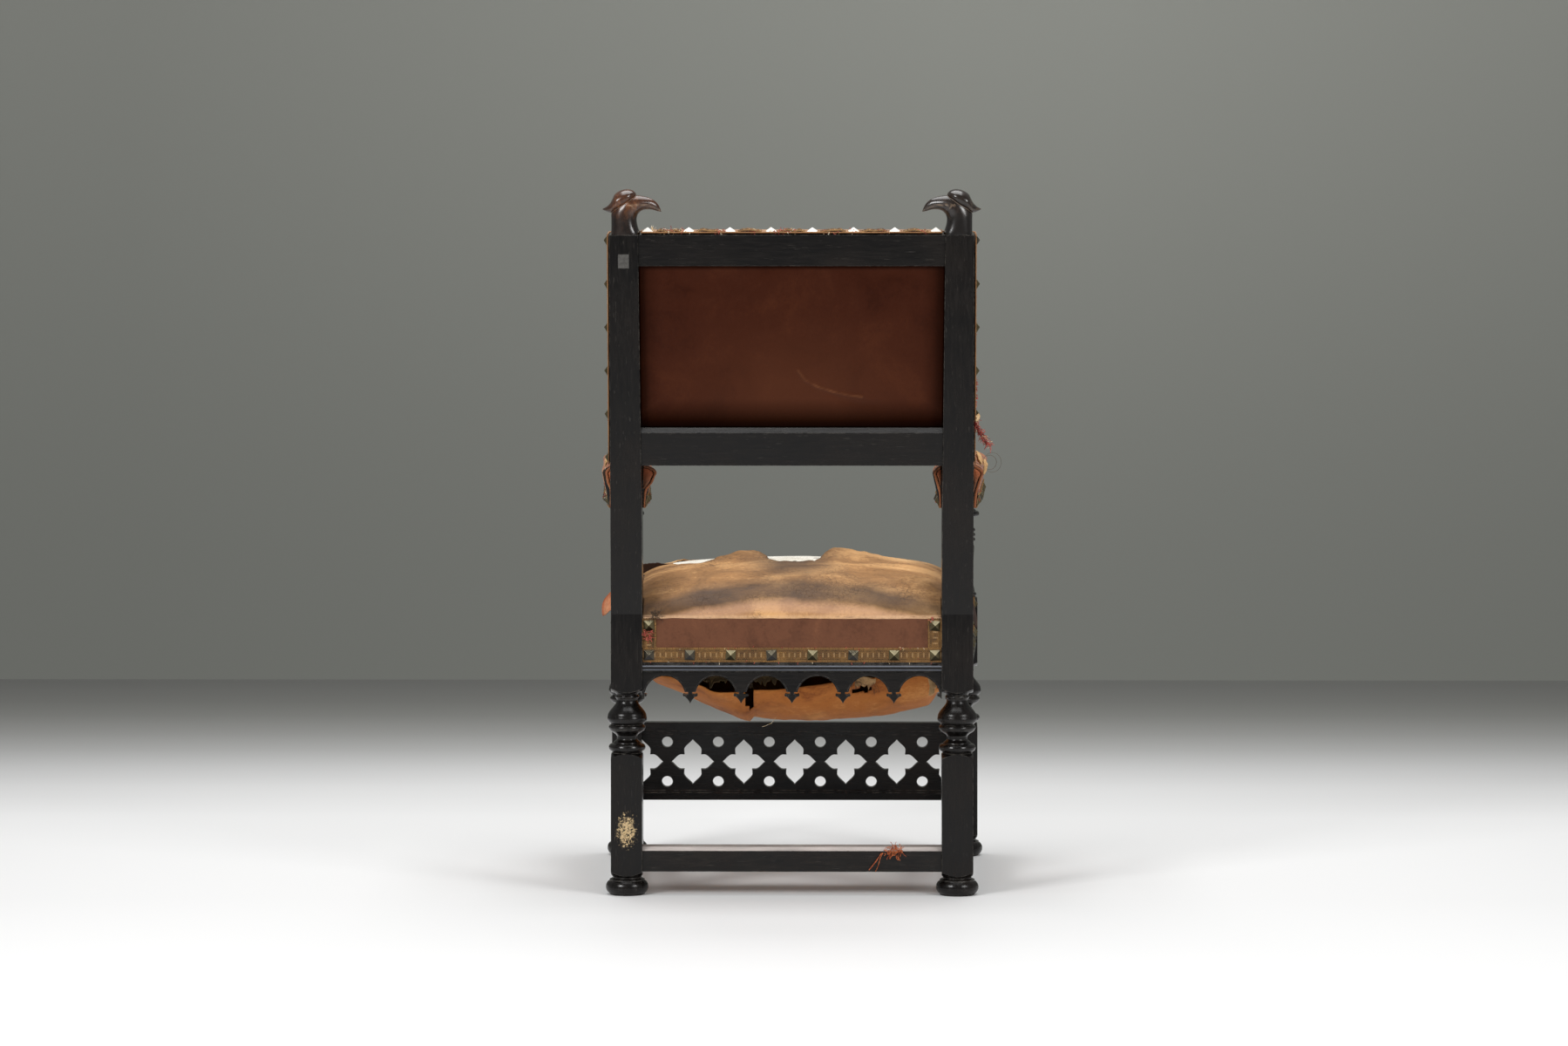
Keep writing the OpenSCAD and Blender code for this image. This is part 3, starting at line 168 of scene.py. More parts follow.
def plug(socket, value):
    """Link a socket to a wire or to another socket, or give it a plain value."""
    value = value.socket if isinstance(value, Wire) else value
    if isinstance(value, bpy.types.NodeSocket):
        socket.id_data.links.new(value, socket)
    else:
        socket.default_value = value


def put(tree, kind, inputs=None, **settings):
    """Add a node, set its properties, and link or set its inputs."""
    item = tree.nodes.new(kind)
    for name, value in settings.items():
        setattr(item, name, value)
    for name, value in (inputs or {}).items():
        plug(item.inputs[name], value)
    return item


def shade(near, kind, inputs=None, **settings):
    """Add a shader node to the tree of a wire. What comes out is returned as wires, by name."""
    item = put(near.tree, "ShaderNode" + kind, inputs, **settings)
    return {socket.name: Wire(socket) for socket in item.outputs}


def maths(operation, a, b=0.5, c=0.0):
    return shade(a, "Math", {0: a, 1: b, 2: c}, operation=operation)["Value"]


def rgb(code):
    """Linear colour from a six-digit screen colour."""
    parts = [int(code[i:i + 2], 16) / 255 for i in (0, 2, 4)]
    linear = [c / 12.92 if c <= 0.04045 else ((c + 0.055) / 1.055) ** 2.4 for c in parts]
    return (*linear, 1)


def start_material(name):
    """An empty material, and its object coordinates."""
    material = bpy.data.materials.new(name)
    material.use_nodes = True
    place = put(material.node_tree, "ShaderNodeTexCoord").outputs["Object"]
    return material, Wire(place)


def finish_shader(material, **sockets):
    """Plug colours and values into the shader. A plain number is set on its own socket."""
    shader = material.node_tree.nodes["Principled BSDF"]
    for name, value in sockets.items():
        plug(shader.inputs[name.replace("_", " ")], value)


# %% Patterns and colours


def stretch(place, scale):
    return shade(place, "Mapping", {"Vector": place, "Scale": scale})["Vector"]


def cloud(place, scale, detail=4, rough=0.55, distort=0.0):
    """Noise whose lumps are about 1 / scale metres across."""
    return shade(place, "TexNoise", {"Vector": place, "Scale": scale, "Detail": detail,
                                     "Roughness": rough, "Distortion": distort})["Fac"]


def ribs(place, size, distortion, way):
    """Fine parallel waves across X or Y, as threads lie in a weave."""
    return shade(place, "TexWave", {"Vector": place, "Scale": size, "Distortion": distortion},
                 bands_direction=way)["Fac"]


def axis_of(place, letter):
    return shade(place, "SeparateXYZ", {"Vector": place})[letter]


def facing(place, letter):
    """How far the surface looks along an axis, from -1 to 1."""
    return axis_of(shade(place, "NewGeometry")["Normal"], letter)


def attribute(place, name):
    return shade(place, "Attribute", attribute_name=name)["Fac"]


def ramp(factor, stops, smooth=True):
    """Colour ramp. Each stop is (place, screen colour)."""
    item = put(factor.tree, "ShaderNodeValToRGB", {"Fac": factor})
    item.color_ramp.interpolation = "EASE" if smooth else "LINEAR"
    points = item.color_ramp.elements
    while len(points) < len(stops):
        points.new(0.5)
    for point, (at, code) in zip(points, stops):
        point.position = at
        point.color = rgb(code)
    return Wire(item.outputs["Color"])


def fit(value, low, high, to_low=0.0, to_high=1.0):
    """Map a value from one range to another, held inside it."""
    return shade(value, "MapRange", {"Value": value, "From Min": low, "From Max": high,
                                     "To Min": to_low, "To Max": to_high})["Result"]


def blend(factor, a, b):
    """Mix two colours. Either may be a wire or a screen colour."""
    a, b = (rgb(colour) if isinstance(colour, str) else colour for colour in (a, b))
    item = put(factor.tree, "ShaderNodeMix", data_type="RGBA")
    for k, value in ((0, factor), (6, a), (7, b)):
        plug(item.inputs[k], value)
    return Wire(item.outputs[2])


def bump(height, distance_mm, strength=1.0, normal=None):
    inputs = {"Height": height, "Distance": distance_mm * MM, "Strength": strength}
    if normal is not None:
        inputs["Normal"] = normal
    return shade(height, "Bump", inputs)["Normal"]


# %% Meshes made from points in millimetres


def mesh_piece(name, points, faces, material=None, smooth=True, edges=()):
    """A mesh object at the origin, its points given in millimetres."""
    mesh = bpy.data.meshes.new(name)
    mesh.from_pydata([Vector(p) * MM for p in points], edges, faces)
    mesh.validate()
    if material is not None:
        mesh.materials.append(material)
    mesh.polygons.foreach_set("use_smooth", [smooth] * len(mesh.polygons))
    return add_object(name, mesh)


# %% Floor and wall
FLOOR_END, FLOOR_HALF = -3735, 9000
WALL_Y, WALL_HALF, WALL_LOW, WALL_TOP = -9500, 12000, -1600, 7000
floor_material, place = start_material("studio_floor")
# Painted shade: the floor is darker towards its far edge, by the wall.
far = fit(axis_of(place, "Y"), FLOOR_END * MM, 0.3)
fade = [(0.03, "727270"), (0.15, "7c7c79"), (0.23, "898986"), (0.33, "a0a09e"), (0.42, "b9b9b8"),
        (0.51, "d5d5d5"), (0.6, "e8e8e8"), (0.72, "f2f2f2"), (1, "e6e6e6")]
finish_shader(floor_material, Roughness=0.45, Base_Color=ramp(far, fade, smooth=False))
floor = mesh_piece("floor", [(-FLOOR_HALF, FLOOR_END, 0), (FLOOR_HALF, FLOOR_END, 0),
                             (FLOOR_HALF, FLOOR_HALF, 0), (-FLOOR_HALF, FLOOR_HALF, 0)],
                   [(0, 1, 2, 3)], floor_material, smooth=False)
wall_material, place = start_material("studio_wall")
# Painted shade: the wall is darker low down and towards its sides.
wall_painted_falloff = ramp(fit(axis_of(place, "Z"), -0.5, 3.2), [(0, "a2a49d"), (1, "d6d8cf")])
aside = abs(axis_of(place, "X") + 0.8)
wall_painted_falloff = blend(fit(aside, 0.3, 3.4, 0, 0.45), wall_painted_falloff, "8e908a")
finish_shader(wall_material, Base_Color=wall_painted_falloff, Roughness=0.9)
wall = mesh_piece("wall", [(-WALL_HALF, WALL_Y, WALL_LOW), (WALL_HALF, WALL_Y, WALL_LOW),
                           (WALL_HALF, WALL_Y, WALL_TOP), (-WALL_HALF, WALL_Y, WALL_TOP)],
                  [(3, 2, 1, 0)], wall_material, smooth=False)

# %% [markdown]
# ## Light
# Two wide soft lamps stand left and right of the camera, and one hangs overhead. The room's own
# light fills what they miss. Together they show a colour about as it is written.

# %% Lamps and room light


def lamp(name, place, target, size, power):
    """A square soft lamp at a place in metres, aimed at a target."""
    data = bpy.data.lights.new(name, "AREA")
    data.size = size
    data.energy = power
    item = add_object(name, data)
    item.location = place
    item.rotation_euler = (Vector(target) - Vector(place)).to_track_quat("-Z", "Y").to_euler()


lamp("key_lamp", (2.6, 3.4, 2.6), (0, 0, 0.6), 1.3, 120)
lamp("fill_lamp", (-2.8, 3.0, 2.2), (0, 0, 0.6), 1.3, 80)
lamp("top_lamp", (0, -0.2, 3.6), (0, 0.1, 0), 2.6, 110)
world = bpy.data.worlds.new("studio")
bpy.context.scene.world = world
world.use_nodes = True
glow = world.node_tree.nodes["Background"].inputs
glow["Color"].default_value = (1, 1, 1, 1)
glow["Strength"].default_value = 0.3

# %% [markdown]
# ## Black-stained wood
# The wood is a close-grained hardwood stained black and waxed. A hundred and fifty years have rubbed
# the stain off its corners, left fine scratches along the grain, and let in a few woodworms.
# The grain follows the long way of each piece, so one recipe is used for all of them, with the grain's
# direction as an input. Scuffs, a lighter top face and painted highlight lines along the mouldings are
# extra inputs for the pieces that have them. A bevel node finds the corners: it softens them, and shows
# where they are lightened, as rubbed-off stain and as a painted highlight.

# %% Worn corners and scuffs


def corner_wear_and_highlight(place, radius_mm):
    """Softened normal, and a mask that is 1 on corners, which carry wear and a painted highlight."""
    soft = shade(place, "Bevel", {"Radius": radius_mm * MM}, samples=4)["Normal"]
    true = shade(place, "NewGeometry")["True Normal"]
    same = shade(place, "VectorMath", {0: soft, 1: true}, operation="DOT_PRODUCT")["Value"]
    return soft, fit(same, 0.995, 0.90)


def spot(place, x_mid, z_mid, x_half, z_half, round_off):
    """A mask for a worn patch on the faces that look backwards: a scuffed oblong, or round and flaky."""
    grit = cloud(place, 260, 6, 0.75, 0.8) - 0.5
    away = []
    for axis, middle, half in (("X", x_mid, x_half), ("Z", z_mid, z_half)):
        step = axis_of(place, axis) - middle
        away.append(abs(step / half))
    if round_off:
        reach = away[0] * away[0] + away[1] * away[1]
        inside_spot = fit(reach + grit * 8.0, 0.50, 0.35)
    else:
        reach = maths("MAXIMUM", away[0], away[1]) + grit * 0.25
        inside_spot = fit(reach, 1.0, 0.92) * fit(grit, -0.15, 0.15, 0.25, 0.6)
    return inside_spot * (facing(place, "Y") > 0.7)


# %% Wood recipe


def wood(name, grain, dark="040303", light="0f0c0a", rubbed="6a655e", shine=0.22, wear=0.75, marks=(),
         worn_top=None, painted_highlight_levels=()):
    """Stained wood. The grain is the scale that draws the noise out along the piece."""
    material, place = start_material(name)
    along = stretch(place, grain)
    streak = cloud(along, 260, 8, 0.6, 0.4)
    patch = cloud(place, 7, 3)
    base = ramp(streak, [(0.3, dark), (0.72, light)])
    base = blend(fit(patch, 0.45, 0.75, 0, 0.5), base, "1a130e")
    scratch = cloud(stretch(place, [g * 0.6 for g in grain]), 900, 2, 0.4)
    base = blend(fit(scratch, 0.68, 0.76, 0, 0.14), base, rubbed)
    # Corners are lightened, partly as rubbed-off stain and partly as a painted highlight along the edges.
    soft, worn = corner_wear_and_highlight(place, 1.6)
    broken = fit(cloud(place, 90, 5, 0.7), 0.42, 0.60)
    worn = worn * broken * wear
    base = blend(worn, base, rubbed)
    if worn_top:
        # Faces that look up are made lighter.
        top_face_mask = fit(facing(place, "Z"), 0.3, 0.6) * fit(cloud(along, 60, 5, 0.6), 0.3, 0.6, 0.5, 0.95)
        base = blend(top_face_mask, base, worn_top)
    holes = shade(place, "TexVoronoi", {"Vector": place, "Scale": 42, "Randomness": 1})
    few = axis_of(holes["Color"], "X") > 0.72
    hole = fit(holes["Distance"], 0.034, 0.026) * few
    base = blend(hole * 0.85, base, "050403")
    # Painted highlights: thin blue-grey lines at the heights of the moulding crests.
    for level in painted_highlight_levels:
        away = abs(axis_of(place, "Z") - level)
        base = blend(fit(away, 0.0015, 0.0006, 0, 0.75), base, "70747c")
    for code, *where in marks:
        base = blend(spot(place, *where), base, code)
    gloss = fit(streak + patch, 0.7, 1.3, shine - 0.06, shine + 0.12)
    finish_shader(material, Base_Color=base, Roughness=gloss, Specular_IOR_Level=0.26,
                  Normal=bump(streak * 0.18 - hole, 0.5, 0.7, soft))
    return material


# %% Woods of the chair
ACROSS, BACK, UPRIGHT = (0.09, 1, 1), (1, 0.09, 1), (1, 1, 0.09)
SCUFF = ("6e6c68", 0.2769, 1.052, 0.0093, 0.0120, False)
CHIPPED = ("b8a078", 0.2745, 0.108, 0.0165, 0.0270, True)
upright_wood = wood("upright_wood", UPRIGHT, marks=(SCUFF, CHIPPED))
across_wood = wood("across_wood", ACROSS)
worn_wood = wood("worn_wood", ACROSS, light="1a1613", wear=1.0, worn_top="b8aea8")
side_wood = wood("side_wood", BACK)
rail_wood = wood("rail_wood", ACROSS, painted_highlight_levels=(0.3808, 0.3750))
raw_wood = wood("raw_wood", ACROSS, "5b4128", "8a6a48", "a58a63", 0.7, 0.3)


def give(material, *names):
    """Give a CAD node its finish."""
    for name in names:
        slots = nodes[name].data.materials
        if len(slots) == 0:
            slots.append(material)
        for i in range(len(slots)):
            slots[i] = material


give(upright_wood, "rear_post_left", "rear_post_right", "front_leg_left", "front_leg_right")
give(across_wood, "top_rail", "lower_back_rail", "seat_rail_front", "apron_rear",
     "apron_front", "front_stretcher")
give(worn_wood, "rear_stretcher")
give(rail_wood, "seat_rail_rear")
give(side_wood, "seat_rail_left", "seat_rail_right", "apron_left", "apron_right",
     "side_stretcher_left", "side_stretcher_right", "arm_rail_left", "arm_rail_right")
give(raw_wood, "corner_blocks", "back_tacking_strips")
print("wooden nodes finished")

# %% [markdown]
# ## Leather
# All the leather on this chair began as the same hide. What differs is what happened to it. The panel
# in the back is still smooth and red-brown. The seat has dried to a pale tan, with dark bands that are
# partly smoke and grease and partly painted shade.
# The sheet under the seat shows its orange flesh side. So one recipe, with different colours, crease
# depths and gloss, serves them all. The fine pebbles come from a small Voronoi pattern.

# %% Leather recipe


def leather(name, stops, grain=1.0, gloss=0.45, stain="20120a", stain_amount=0.5, crack=0.0, stain_size=9,
            streak=(1, 1, 1), sheen=0.0):
    """Leather whose colour follows a ramp over broad and fine noise."""
    material, place = start_material(name)
    broad = cloud(stretch(place, streak), 11, 6, 0.6, 0.6)
    fine = cloud(place, 170, 6, 0.65)
    mixed = broad * 0.75 + fine * 0.25
    base = ramp(mixed, [(0.32 + 0.36 * i / (len(stops) - 1), code) for i, code in enumerate(stops)])
    mark = cloud(place, stain_size, 5, 0.7, 1.2)
    base = blend(fit(mark, 0.52, 0.74, 0, stain_amount), base, stain)
    pebble = shade(place, "TexVoronoi", {"Vector": place, "Scale": 900 / grain}, feature="SMOOTH_F1")
    height = pebble["Distance"] * 0.5 + fine * 0.8
    if crack:
        veins = shade(place, "TexVoronoi", {"Vector": stretch(place, (1, 1, 1.6)), "Scale": 120},
                      feature="DISTANCE_TO_EDGE")["Distance"]
        dry = fit(cloud(place, 16, 3), 0.45, 0.62)
        vein = fit(veins, 0.05, 0.0) * (dry * crack)
        base = blend(vein * 0.7, base, stain)
        height = height - vein * 1.2
    finish_shader(material, Base_Color=base, Roughness=fit(mixed, 0.3, 0.7, gloss, gloss + 0.2),
                  Normal=bump(height, 0.35, 0.6), Specular_IOR_Level=0.2)
    if sheen:
        finish_shader(material, Sheen_Weight=sheen, Sheen_Roughness=0.5)
    return material, place, base


# %% The chair's leathers
panel_leather, place, base = leather(
    "panel_leather", ("2b0e03", "331305", "3b1908"), 0.9, 0.32, "1d0b06", 0.10, 0, 4)
# Painted shade: the panel is darkened, and its reflection dulled, towards its sides and its foot, where the
# frame shades the recessed hide. A paler patch low in the middle is painted light.
edge_x = fit(abs(axis_of(place, "X")), 0.215, 0.252)
foot_z = fit(axis_of(place, "Z"), 0.825, 0.785)
shadow = maths("MAXIMUM", edge_x * 0.6, foot_z)
painted_light_patch = fit(axis_of(place, "Z"), 0.97, 0.85, 0, 0.45) * fit(abs(axis_of(place, "X") + 0.02), 0.24, 0.05)
base = blend(painted_light_patch, base, "4e2a18")
base = blend(shadow * 0.9, base, "0a0403")
base = blend(attribute(place, "scar") * 0.3, base, "9a6844")
finish_shader(panel_leather, Base_Color=base, Specular_IOR_Level=fit(shadow, 0.0, 0.9, 0.09, 0.0))

seat_leather_finish, place, base = leather(
    "seat_leather_worn", ("65431f", "9c7042", "c89862", "dcb886"), 1.2, 0.44, "4a331c", 0.5, 1.0, 9,
    (0.5, 1, 1), 0.04)
x_at, z_at = axis_of(place, "X"), axis_of(place, "Z")
# The arched band, the valley between the humps and the ends of the seat are darkened: partly smoke and
# grease, partly painted shade.
arch = z_at + x_at * x_at * 0.6 + (cloud(place, 12, 4, 0.6) - 0.5) * 0.02
band = fit(abs(arch - 0.503), 0.026, 0.009)
swell = maths("COSINE", (x_at + 0.015) * (2 * math.pi / 0.15))
band = band * (swell * 0.1 + 0.9)
valley = fit(z_at, 0.518, 0.536) * fit(abs(x_at), 0.10, 0.02)
ends = fit(abs(x_at), 0.19, 0.27, 0, 0.5)
smoke_and_shade = maths("MAXIMUM", band * 0.95, maths("MAXIMUM", valley, ends))
smoke_and_shade = smoke_and_shade * fit(cloud(place, 9, 6, 0.62, 0.9), 0.38, 0.6, 0.84, 1)
base = blend(smoke_and_shade, base, "3a281b")
# Painted highlight: a light band along the rolled rear edge of the seat.
glow = fit(abs(arch - 0.478), 0.014, 0.004, 0, 0.5)
base = blend(glow, base, "b48e76")
# A light line at the seat's lower edge: worn fuzzy leather, and a painted highlight on the rolled edge.
fuzz_and_highlight = fit(z_at, 0.4665, 0.4625) * cloud(stretch(place, (1, 1, 0.3)), 300, 4, 0.7)
base = blend(fuzz_and_highlight, base, "dcb48e")
finish_shader(seat_leather_finish, Base_Color=base)

border_leather = leather(
    "border_leather", ("4a2a19", "5f3a26", "70472f"), 1.0, 0.55, "331d12", 0.3, 0.4, 14, (1, 1, 0.6))[0]
under_leather = leather(
    "under_leather", ("7a3e12", "b06a2e", "cc8a4a"), 1.3, 0.68, "43230f", 0.35, 0.3, 13, sheen=0.05)[0]
arm_leather_finish = leather(
    "arm_leather_worn", ("4a2616", "8a5232", "b98558"), 1.1, 0.55, "1b0f0a", 0.6, 0.8, 16, sheen=0.1)[0]
back_leather_finish = leather(
    "back_leather_worn", ("5a3a22", "8f6540", "b08458"), 1.2, 0.48, "33221a", 0.5, 0.9, 8, (1, 1, 0.6),
    0.12)[0]
print("leathers ready")

# %% [markdown]
# ## Helpers for sheets that bend
# A sheet is a grid of points. A function says where each point lies, and Solidify gives the grid
# its thickness. Cells inside a tear are dropped, and the points left on its rim are drawn onto the
# torn line, so the rim is ragged but not stepped.

# %% Curves and roughness


def smooth(t):
    """A soft step: 0 up to 0, 1 from 1 on."""
    t = min(1.0, max(0.0, t))
    return t * t * (3 - 2 * t)


def follow(table, x):
    """A smooth curve through a table of (x, value), which never swings past its points."""
    if x <= table[0][0]:
        return table[0][1]
    rises = [(v1 - v0) / (x1 - x0) for (x0, v0), (x1, v1) in zip(table, table[1:])]
    for k, ((x0, v0), (x1, v1)) in enumerate(zip(table, table[1:])):
        if x <= x1:
            before, here, after = rises[max(0, k - 1)], rises[k], rises[min(len(rises) - 1, k + 1)]
            start = 2 * before * here / (before + here) if before * here > 0 else 0
            end = 2 * here * after / (here + after) if here * after > 0 else 0
            t, wide = (x - x0) / (x1 - x0), x1 - x0
            return (v0 * (1 + 2 * t) * (1 - t) ** 2 + v1 * t * t * (3 - 2 * t)
                    + wide * (start * t * (1 - t) ** 2 - end * t * t * (1 - t)))
    return table[-1][1]


def rough(x, y, z, size):
    """Soft random bumps between -1 and 1, about one size across."""
    return noise.noise(Vector((x, y, z)) / size)


# %% Lines and torn loops


def nearest_on_line(p, line):
    """Nearest point of a polyline to a flat point, and how far it is."""
    best = None
    for a, b in zip(line, line[1:]):
        a, b = Vector(a), Vector(b)
        t = min(1, max(0, (p - a).dot(b - a) / max((b - a).length_squared, 1e-9)))
        q = a + (b - a) * t
        if best is None or (p - q).length < best[1]:
            best = (q, (p - q).length)
    return best


def inside(p, loop):
    """Whether a flat point lies inside a closed loop."""
    hit = False
    for (x0, y0), (x1, y1) in zip(loop, loop[1:] + loop[:1]):
        if (y0 > p[1]) != (y1 > p[1]) and p[0] < (x1 - x0) * (p[1] - y0) / (y1 - y0) + x0:
            hit = not hit
    return hit


def ragged(loop, step, depth, seed):
    """A closed loop with a torn look: finer points, each moved a little at random."""
    rand = random.Random(seed)
    points = []
    for a, b in zip(loop, loop[1:] + loop[:1]):
        a, b = Vector(a), Vector(b)
        count = max(1, int((b - a).length / step))
        for k in range(count):
            p = a + (b - a) * k / count
            points.append((p.x + rand.uniform(-depth, depth), p.y + rand.uniform(-depth, depth)))
    return points


# %% A sheet, its wall and its loose points


def sheet_piece(name, flat, lift, material, thickness, holes=(), offset=1.0):
    """A sheet over a grid of flat points. lift(x, y) gives each its place; cells in a hole are dropped."""
    columns, rows = len(flat), len(flat[0])
    flat = [[Vector(p) for p in column] for column in flat]
    reach = (flat[1][0] - flat[0][0]).length * 1.5
    gone = set()
    for i in range(columns - 1):
        for j in range(rows - 1):
            centre = (flat[i][j] + flat[i + 1][j + 1]) / 2
            if any(inside(centre, loop) for loop in holes):
                gone.add((i, j))
    for i in range(columns):
        for j in range(rows):
            around = [c in gone for c in ((i - 1, j - 1), (i, j - 1), (i - 1, j), (i, j))]
            if any(around) and not all(around):
                for loop in holes:
                    q, away = nearest_on_line(flat[i][j], loop + loop[:1])
                    if away < reach:
                        flat[i][j] = q
    points = [lift(p.x, p.y) for column in flat for p in column]
    faces = [(i * rows + j, (i + 1) * rows + j, (i + 1) * rows + j + 1, i * rows + j + 1)
             for i in range(columns - 1) for j in range(rows - 1) if (i, j) not in gone]
    piece = mesh_piece(name, points, faces, material)
    clean_loose(piece)
    add_wall(piece, thickness, offset)
    return piece


def edit_mesh(piece, edit):
    """Open a piece's mesh, change it, and write it back."""
    work = bmesh.new()
    work.from_mesh(piece.data)
    edit(work)
    work.to_mesh(piece.data)
    work.free()


def clean_loose(piece):
    """Drop points that no face uses."""
    edit_mesh(piece, lambda work: bmesh.ops.delete(
        work, geom=[v for v in work.verts if not v.link_faces], context="VERTS"))


def join_close(piece, apart=0.3):
    """Join points closer than this, in mm. A single edge that is far too short stops the cloth solver."""
    edit_mesh(piece, lambda work: bmesh.ops.remove_doubles(work, verts=work.verts, dist=apart * MM))


def add_wall(piece, thickness, offset=1.0):
    """Give a sheet its thickness. Offset 1 builds it outwards from the points."""
    wall_step = piece.modifiers.new("wall", "SOLIDIFY")
    wall_step.thickness = thickness * MM
    wall_step.offset = offset
    wall_step.use_even_offset = False


# %% Stuffing that fills a cover
# How free the middle of a cover is: 1 would be free, 0 nailed down.
SLACK = 0.98


def puff(piece, held, pressure, cap, frames=20):
    """Blow a cover up with the cloth solver. Held points keep still, and no point moves past the cap."""
    pins = piece.vertex_groups.new(name="nailed")
    for index, amount in enumerate(held):
        pins.add([index], amount, "REPLACE")
    solver = piece.modifiers.new("stuffing", "CLOTH")
    cloth = solver.settings
    cloth.quality, cloth.mass, cloth.air_damping = 6, 0.4, 2.0
    cloth.tension_stiffness = cloth.compression_stiffness = 12
    cloth.shear_stiffness, cloth.bending_stiffness = 6, 1.5
    cloth.vertex_group_mass = "nailed"
    cloth.use_pressure = True
    cloth.uniform_pressure_force = pressure
    cloth.effector_weights.gravity = 0
    solver.point_cache.frame_start, solver.point_cache.frame_end = 1, frames
    for frame_number in range(1, frames + 1):
        bpy.context.scene.frame_set(frame_number)
    shaped = piece.evaluated_get(bpy.context.evaluated_depsgraph_get())
    moves = [new.co - old.co for old, new in zip(piece.data.vertices, shaped.data.vertices)]
    piece.modifiers.remove(solver)
    piece.vertex_groups.remove(pins)
    most = max(move.length for move in moves) / MM
    for vertex, move in zip(piece.data.vertices, moves):
        vertex.co += move * min(1, cap * MM / max(move.length, 1e-12))
    bpy.context.scene.frame_set(1)
    print(piece.name, "cloth moved up to", round(most, 1), "mm, kept within", cap)


# %% Steps along a line, and handing a piece over


def evenly(low, high, count, ease=0.0):
    """Count + 1 values from low to high, with finer steps at both ends."""
    return [low + (high - low) * (k / count - ease * math.sin(2 * math.pi * k / count))
            for k in range(count + 1)]


def done(piece, slot, *replaced):
    """Ride on the chair, and stand for the CAD nodes named. The slot is not used."""
    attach(piece, "root")
    if replaced:
        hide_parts(*replaced)
    print(piece.name, len(piece.data.polygons), "faces")
    return piece


# %% [markdown]
# ## The leather panel behind the back
# A single piece of hide is tacked over laths inside the back's frame, so it swells a little in the
# middle. A scar runs down across its lower half. It is pressed into the mesh as a low curved ridge, so
# that it catches the light from any side.

# %% Back panel
LOW_POS, LOW_RAIL, TOP_RAIL = 250.7, 62.5, 51.5
LOW_TOP, OPEN_TOP = LOW_POS + LOW_RAIL, BACK_LEN - TOP_RAIL
POST_NARROWS, POST_STEP = 618, 52 - 47.5
POST_TOP_Z = leaning(0, 0, BACK_LEN).z + 1
PANEL_FRONT, PANEL_Y, POST_REAR = 26.2, 28, 33
PANEL_COLUMNS, PANEL_ROWS, PANEL_PLAY = 220, 128, 0.4


def opening_half(up):
    """Half the width between the posts, at a height up the back."""
    z = leaning(0, POST_REAR, up).z
    narrowed = min(1, max(0, (z - POST_NARROWS) / (POST_TOP_Z - POST_NARROWS)))
    return REAR_SPAN / 2 - HALF_LEG + POST_STEP * narrowed


scar = [Vector(p) for p in ((-10, 408), (-22, 392), (-44, 380), (-70, 372), (-96, 366), (-116, 364))]
dent = [Vector(p) for p in ((-60, 372), (-84, 360), (-112, 352), (-140, 350))]


def panel_place(x, up):
    """A low crown, with the scar as a ridge and a dent below it."""
    a = x / (opening_half(up) - PANEL_PLAY)
    b = (up - (LOW_TOP + OPEN_TOP) / 2) / ((OPEN_TOP - LOW_TOP) / 2 - PANEL_PLAY)
    crown = 5 * max(0, (1 - a ** 4) * (1 - b ** 4)) ** 0.7
    here = Vector((x, up))
    ridge = 1.2 * math.exp(-(nearest_on_line(here, scar)[1] / 2.2) ** 2)
    ridge -= 0.8 * math.exp(-(nearest_on_line(here, dent)[1] / 7) ** 2)
    waves = (0.35 * rough(x, up, 0, 90) + 0.14 * rough(x, up, 3, 26)) * (1 - a ** 6) * (1 - b ** 6)
    return leaning(x, PANEL_FRONT + crown + ridge + waves, up)


ups = evenly(LOW_TOP + PANEL_PLAY, OPEN_TOP - PANEL_PLAY, PANEL_ROWS)
flat = [[((opening_half(up) - PANEL_PLAY) * (2 * i / PANEL_COLUMNS - 1), up) for up in ups]
        for i in range(PANEL_COLUMNS + 1)]
back_panel = sheet_piece("back_panel_leather", flat[::-1], panel_place, panel_leather, 2.0)
marks = back_panel.data.attributes.new("scar", "FLOAT", "POINT")
strength = []
for vertex in back_panel.data.vertices:
    up = (vertex.co.z / MM - RAKE_Z) / math.cos(RAKE) + PANEL_Y * math.tan(RAKE)
    away = nearest_on_line(Vector((vertex.co.x / MM, up)), scar)[1]
    strength.append(math.exp(-(away / 1.1) ** 2) * (0.5 + 0.5 * rough(vertex.co.x / MM, up, 0, 12)))
marks.data.foreach_set("value", strength)
done(back_panel, "panel_leather", "outer_back_panel")

# %% [markdown]
# ## The seat
# Under the worn leather lies a white cotton cover over curled hair. The leather has split over the
# crown and drawn back, so the white shows through, and its dry rim stands up in two humps. Seen from
# behind, that rim is the seat's whole outline. So the outline is written down as a table of heights
# across the chair, and the crown falls from it to the rails at the front and back.

# %% Seat heights
SEAT_MID_Y = (REAR_Y + FRONT_Y) / 2
SEAT_HALF = DEPTH / 2 + RAIL_FACE
EDGE_Z = 459.5
SMOOTH_CREST = ((-310, 464), (-292, 486), (-256, 519), (-228, 530), (-168, 539), (-100, 542.5), (0, 544.6),
                (100, 541.5), (168, 538), (228, 529), (256, 517), (292, 484), (310, 464))
TORN_CREST = ((-310, 464), (-292, 486), (-256, 519), (-228, 531), (-202, 535.5), (-168, 540),
              (-130, 547), (-90, 555.5), (-71, 558), (-56, 551), (-45, 541), (0, 538), (34, 539),
              (45, 547), (60, 553.5), (90, 553.5), (112, 549), (130, 544.5), (148, 540), (165, 537),
              (190, 533), (205, 530), (256, 509), (292, 482), (310, 464))


def crown(t):
    """How much of its height the seat keeps, from 1 in the middle to 0 at the front and rear edges."""
    return max(0.0, 1 - t * t) ** 0.56


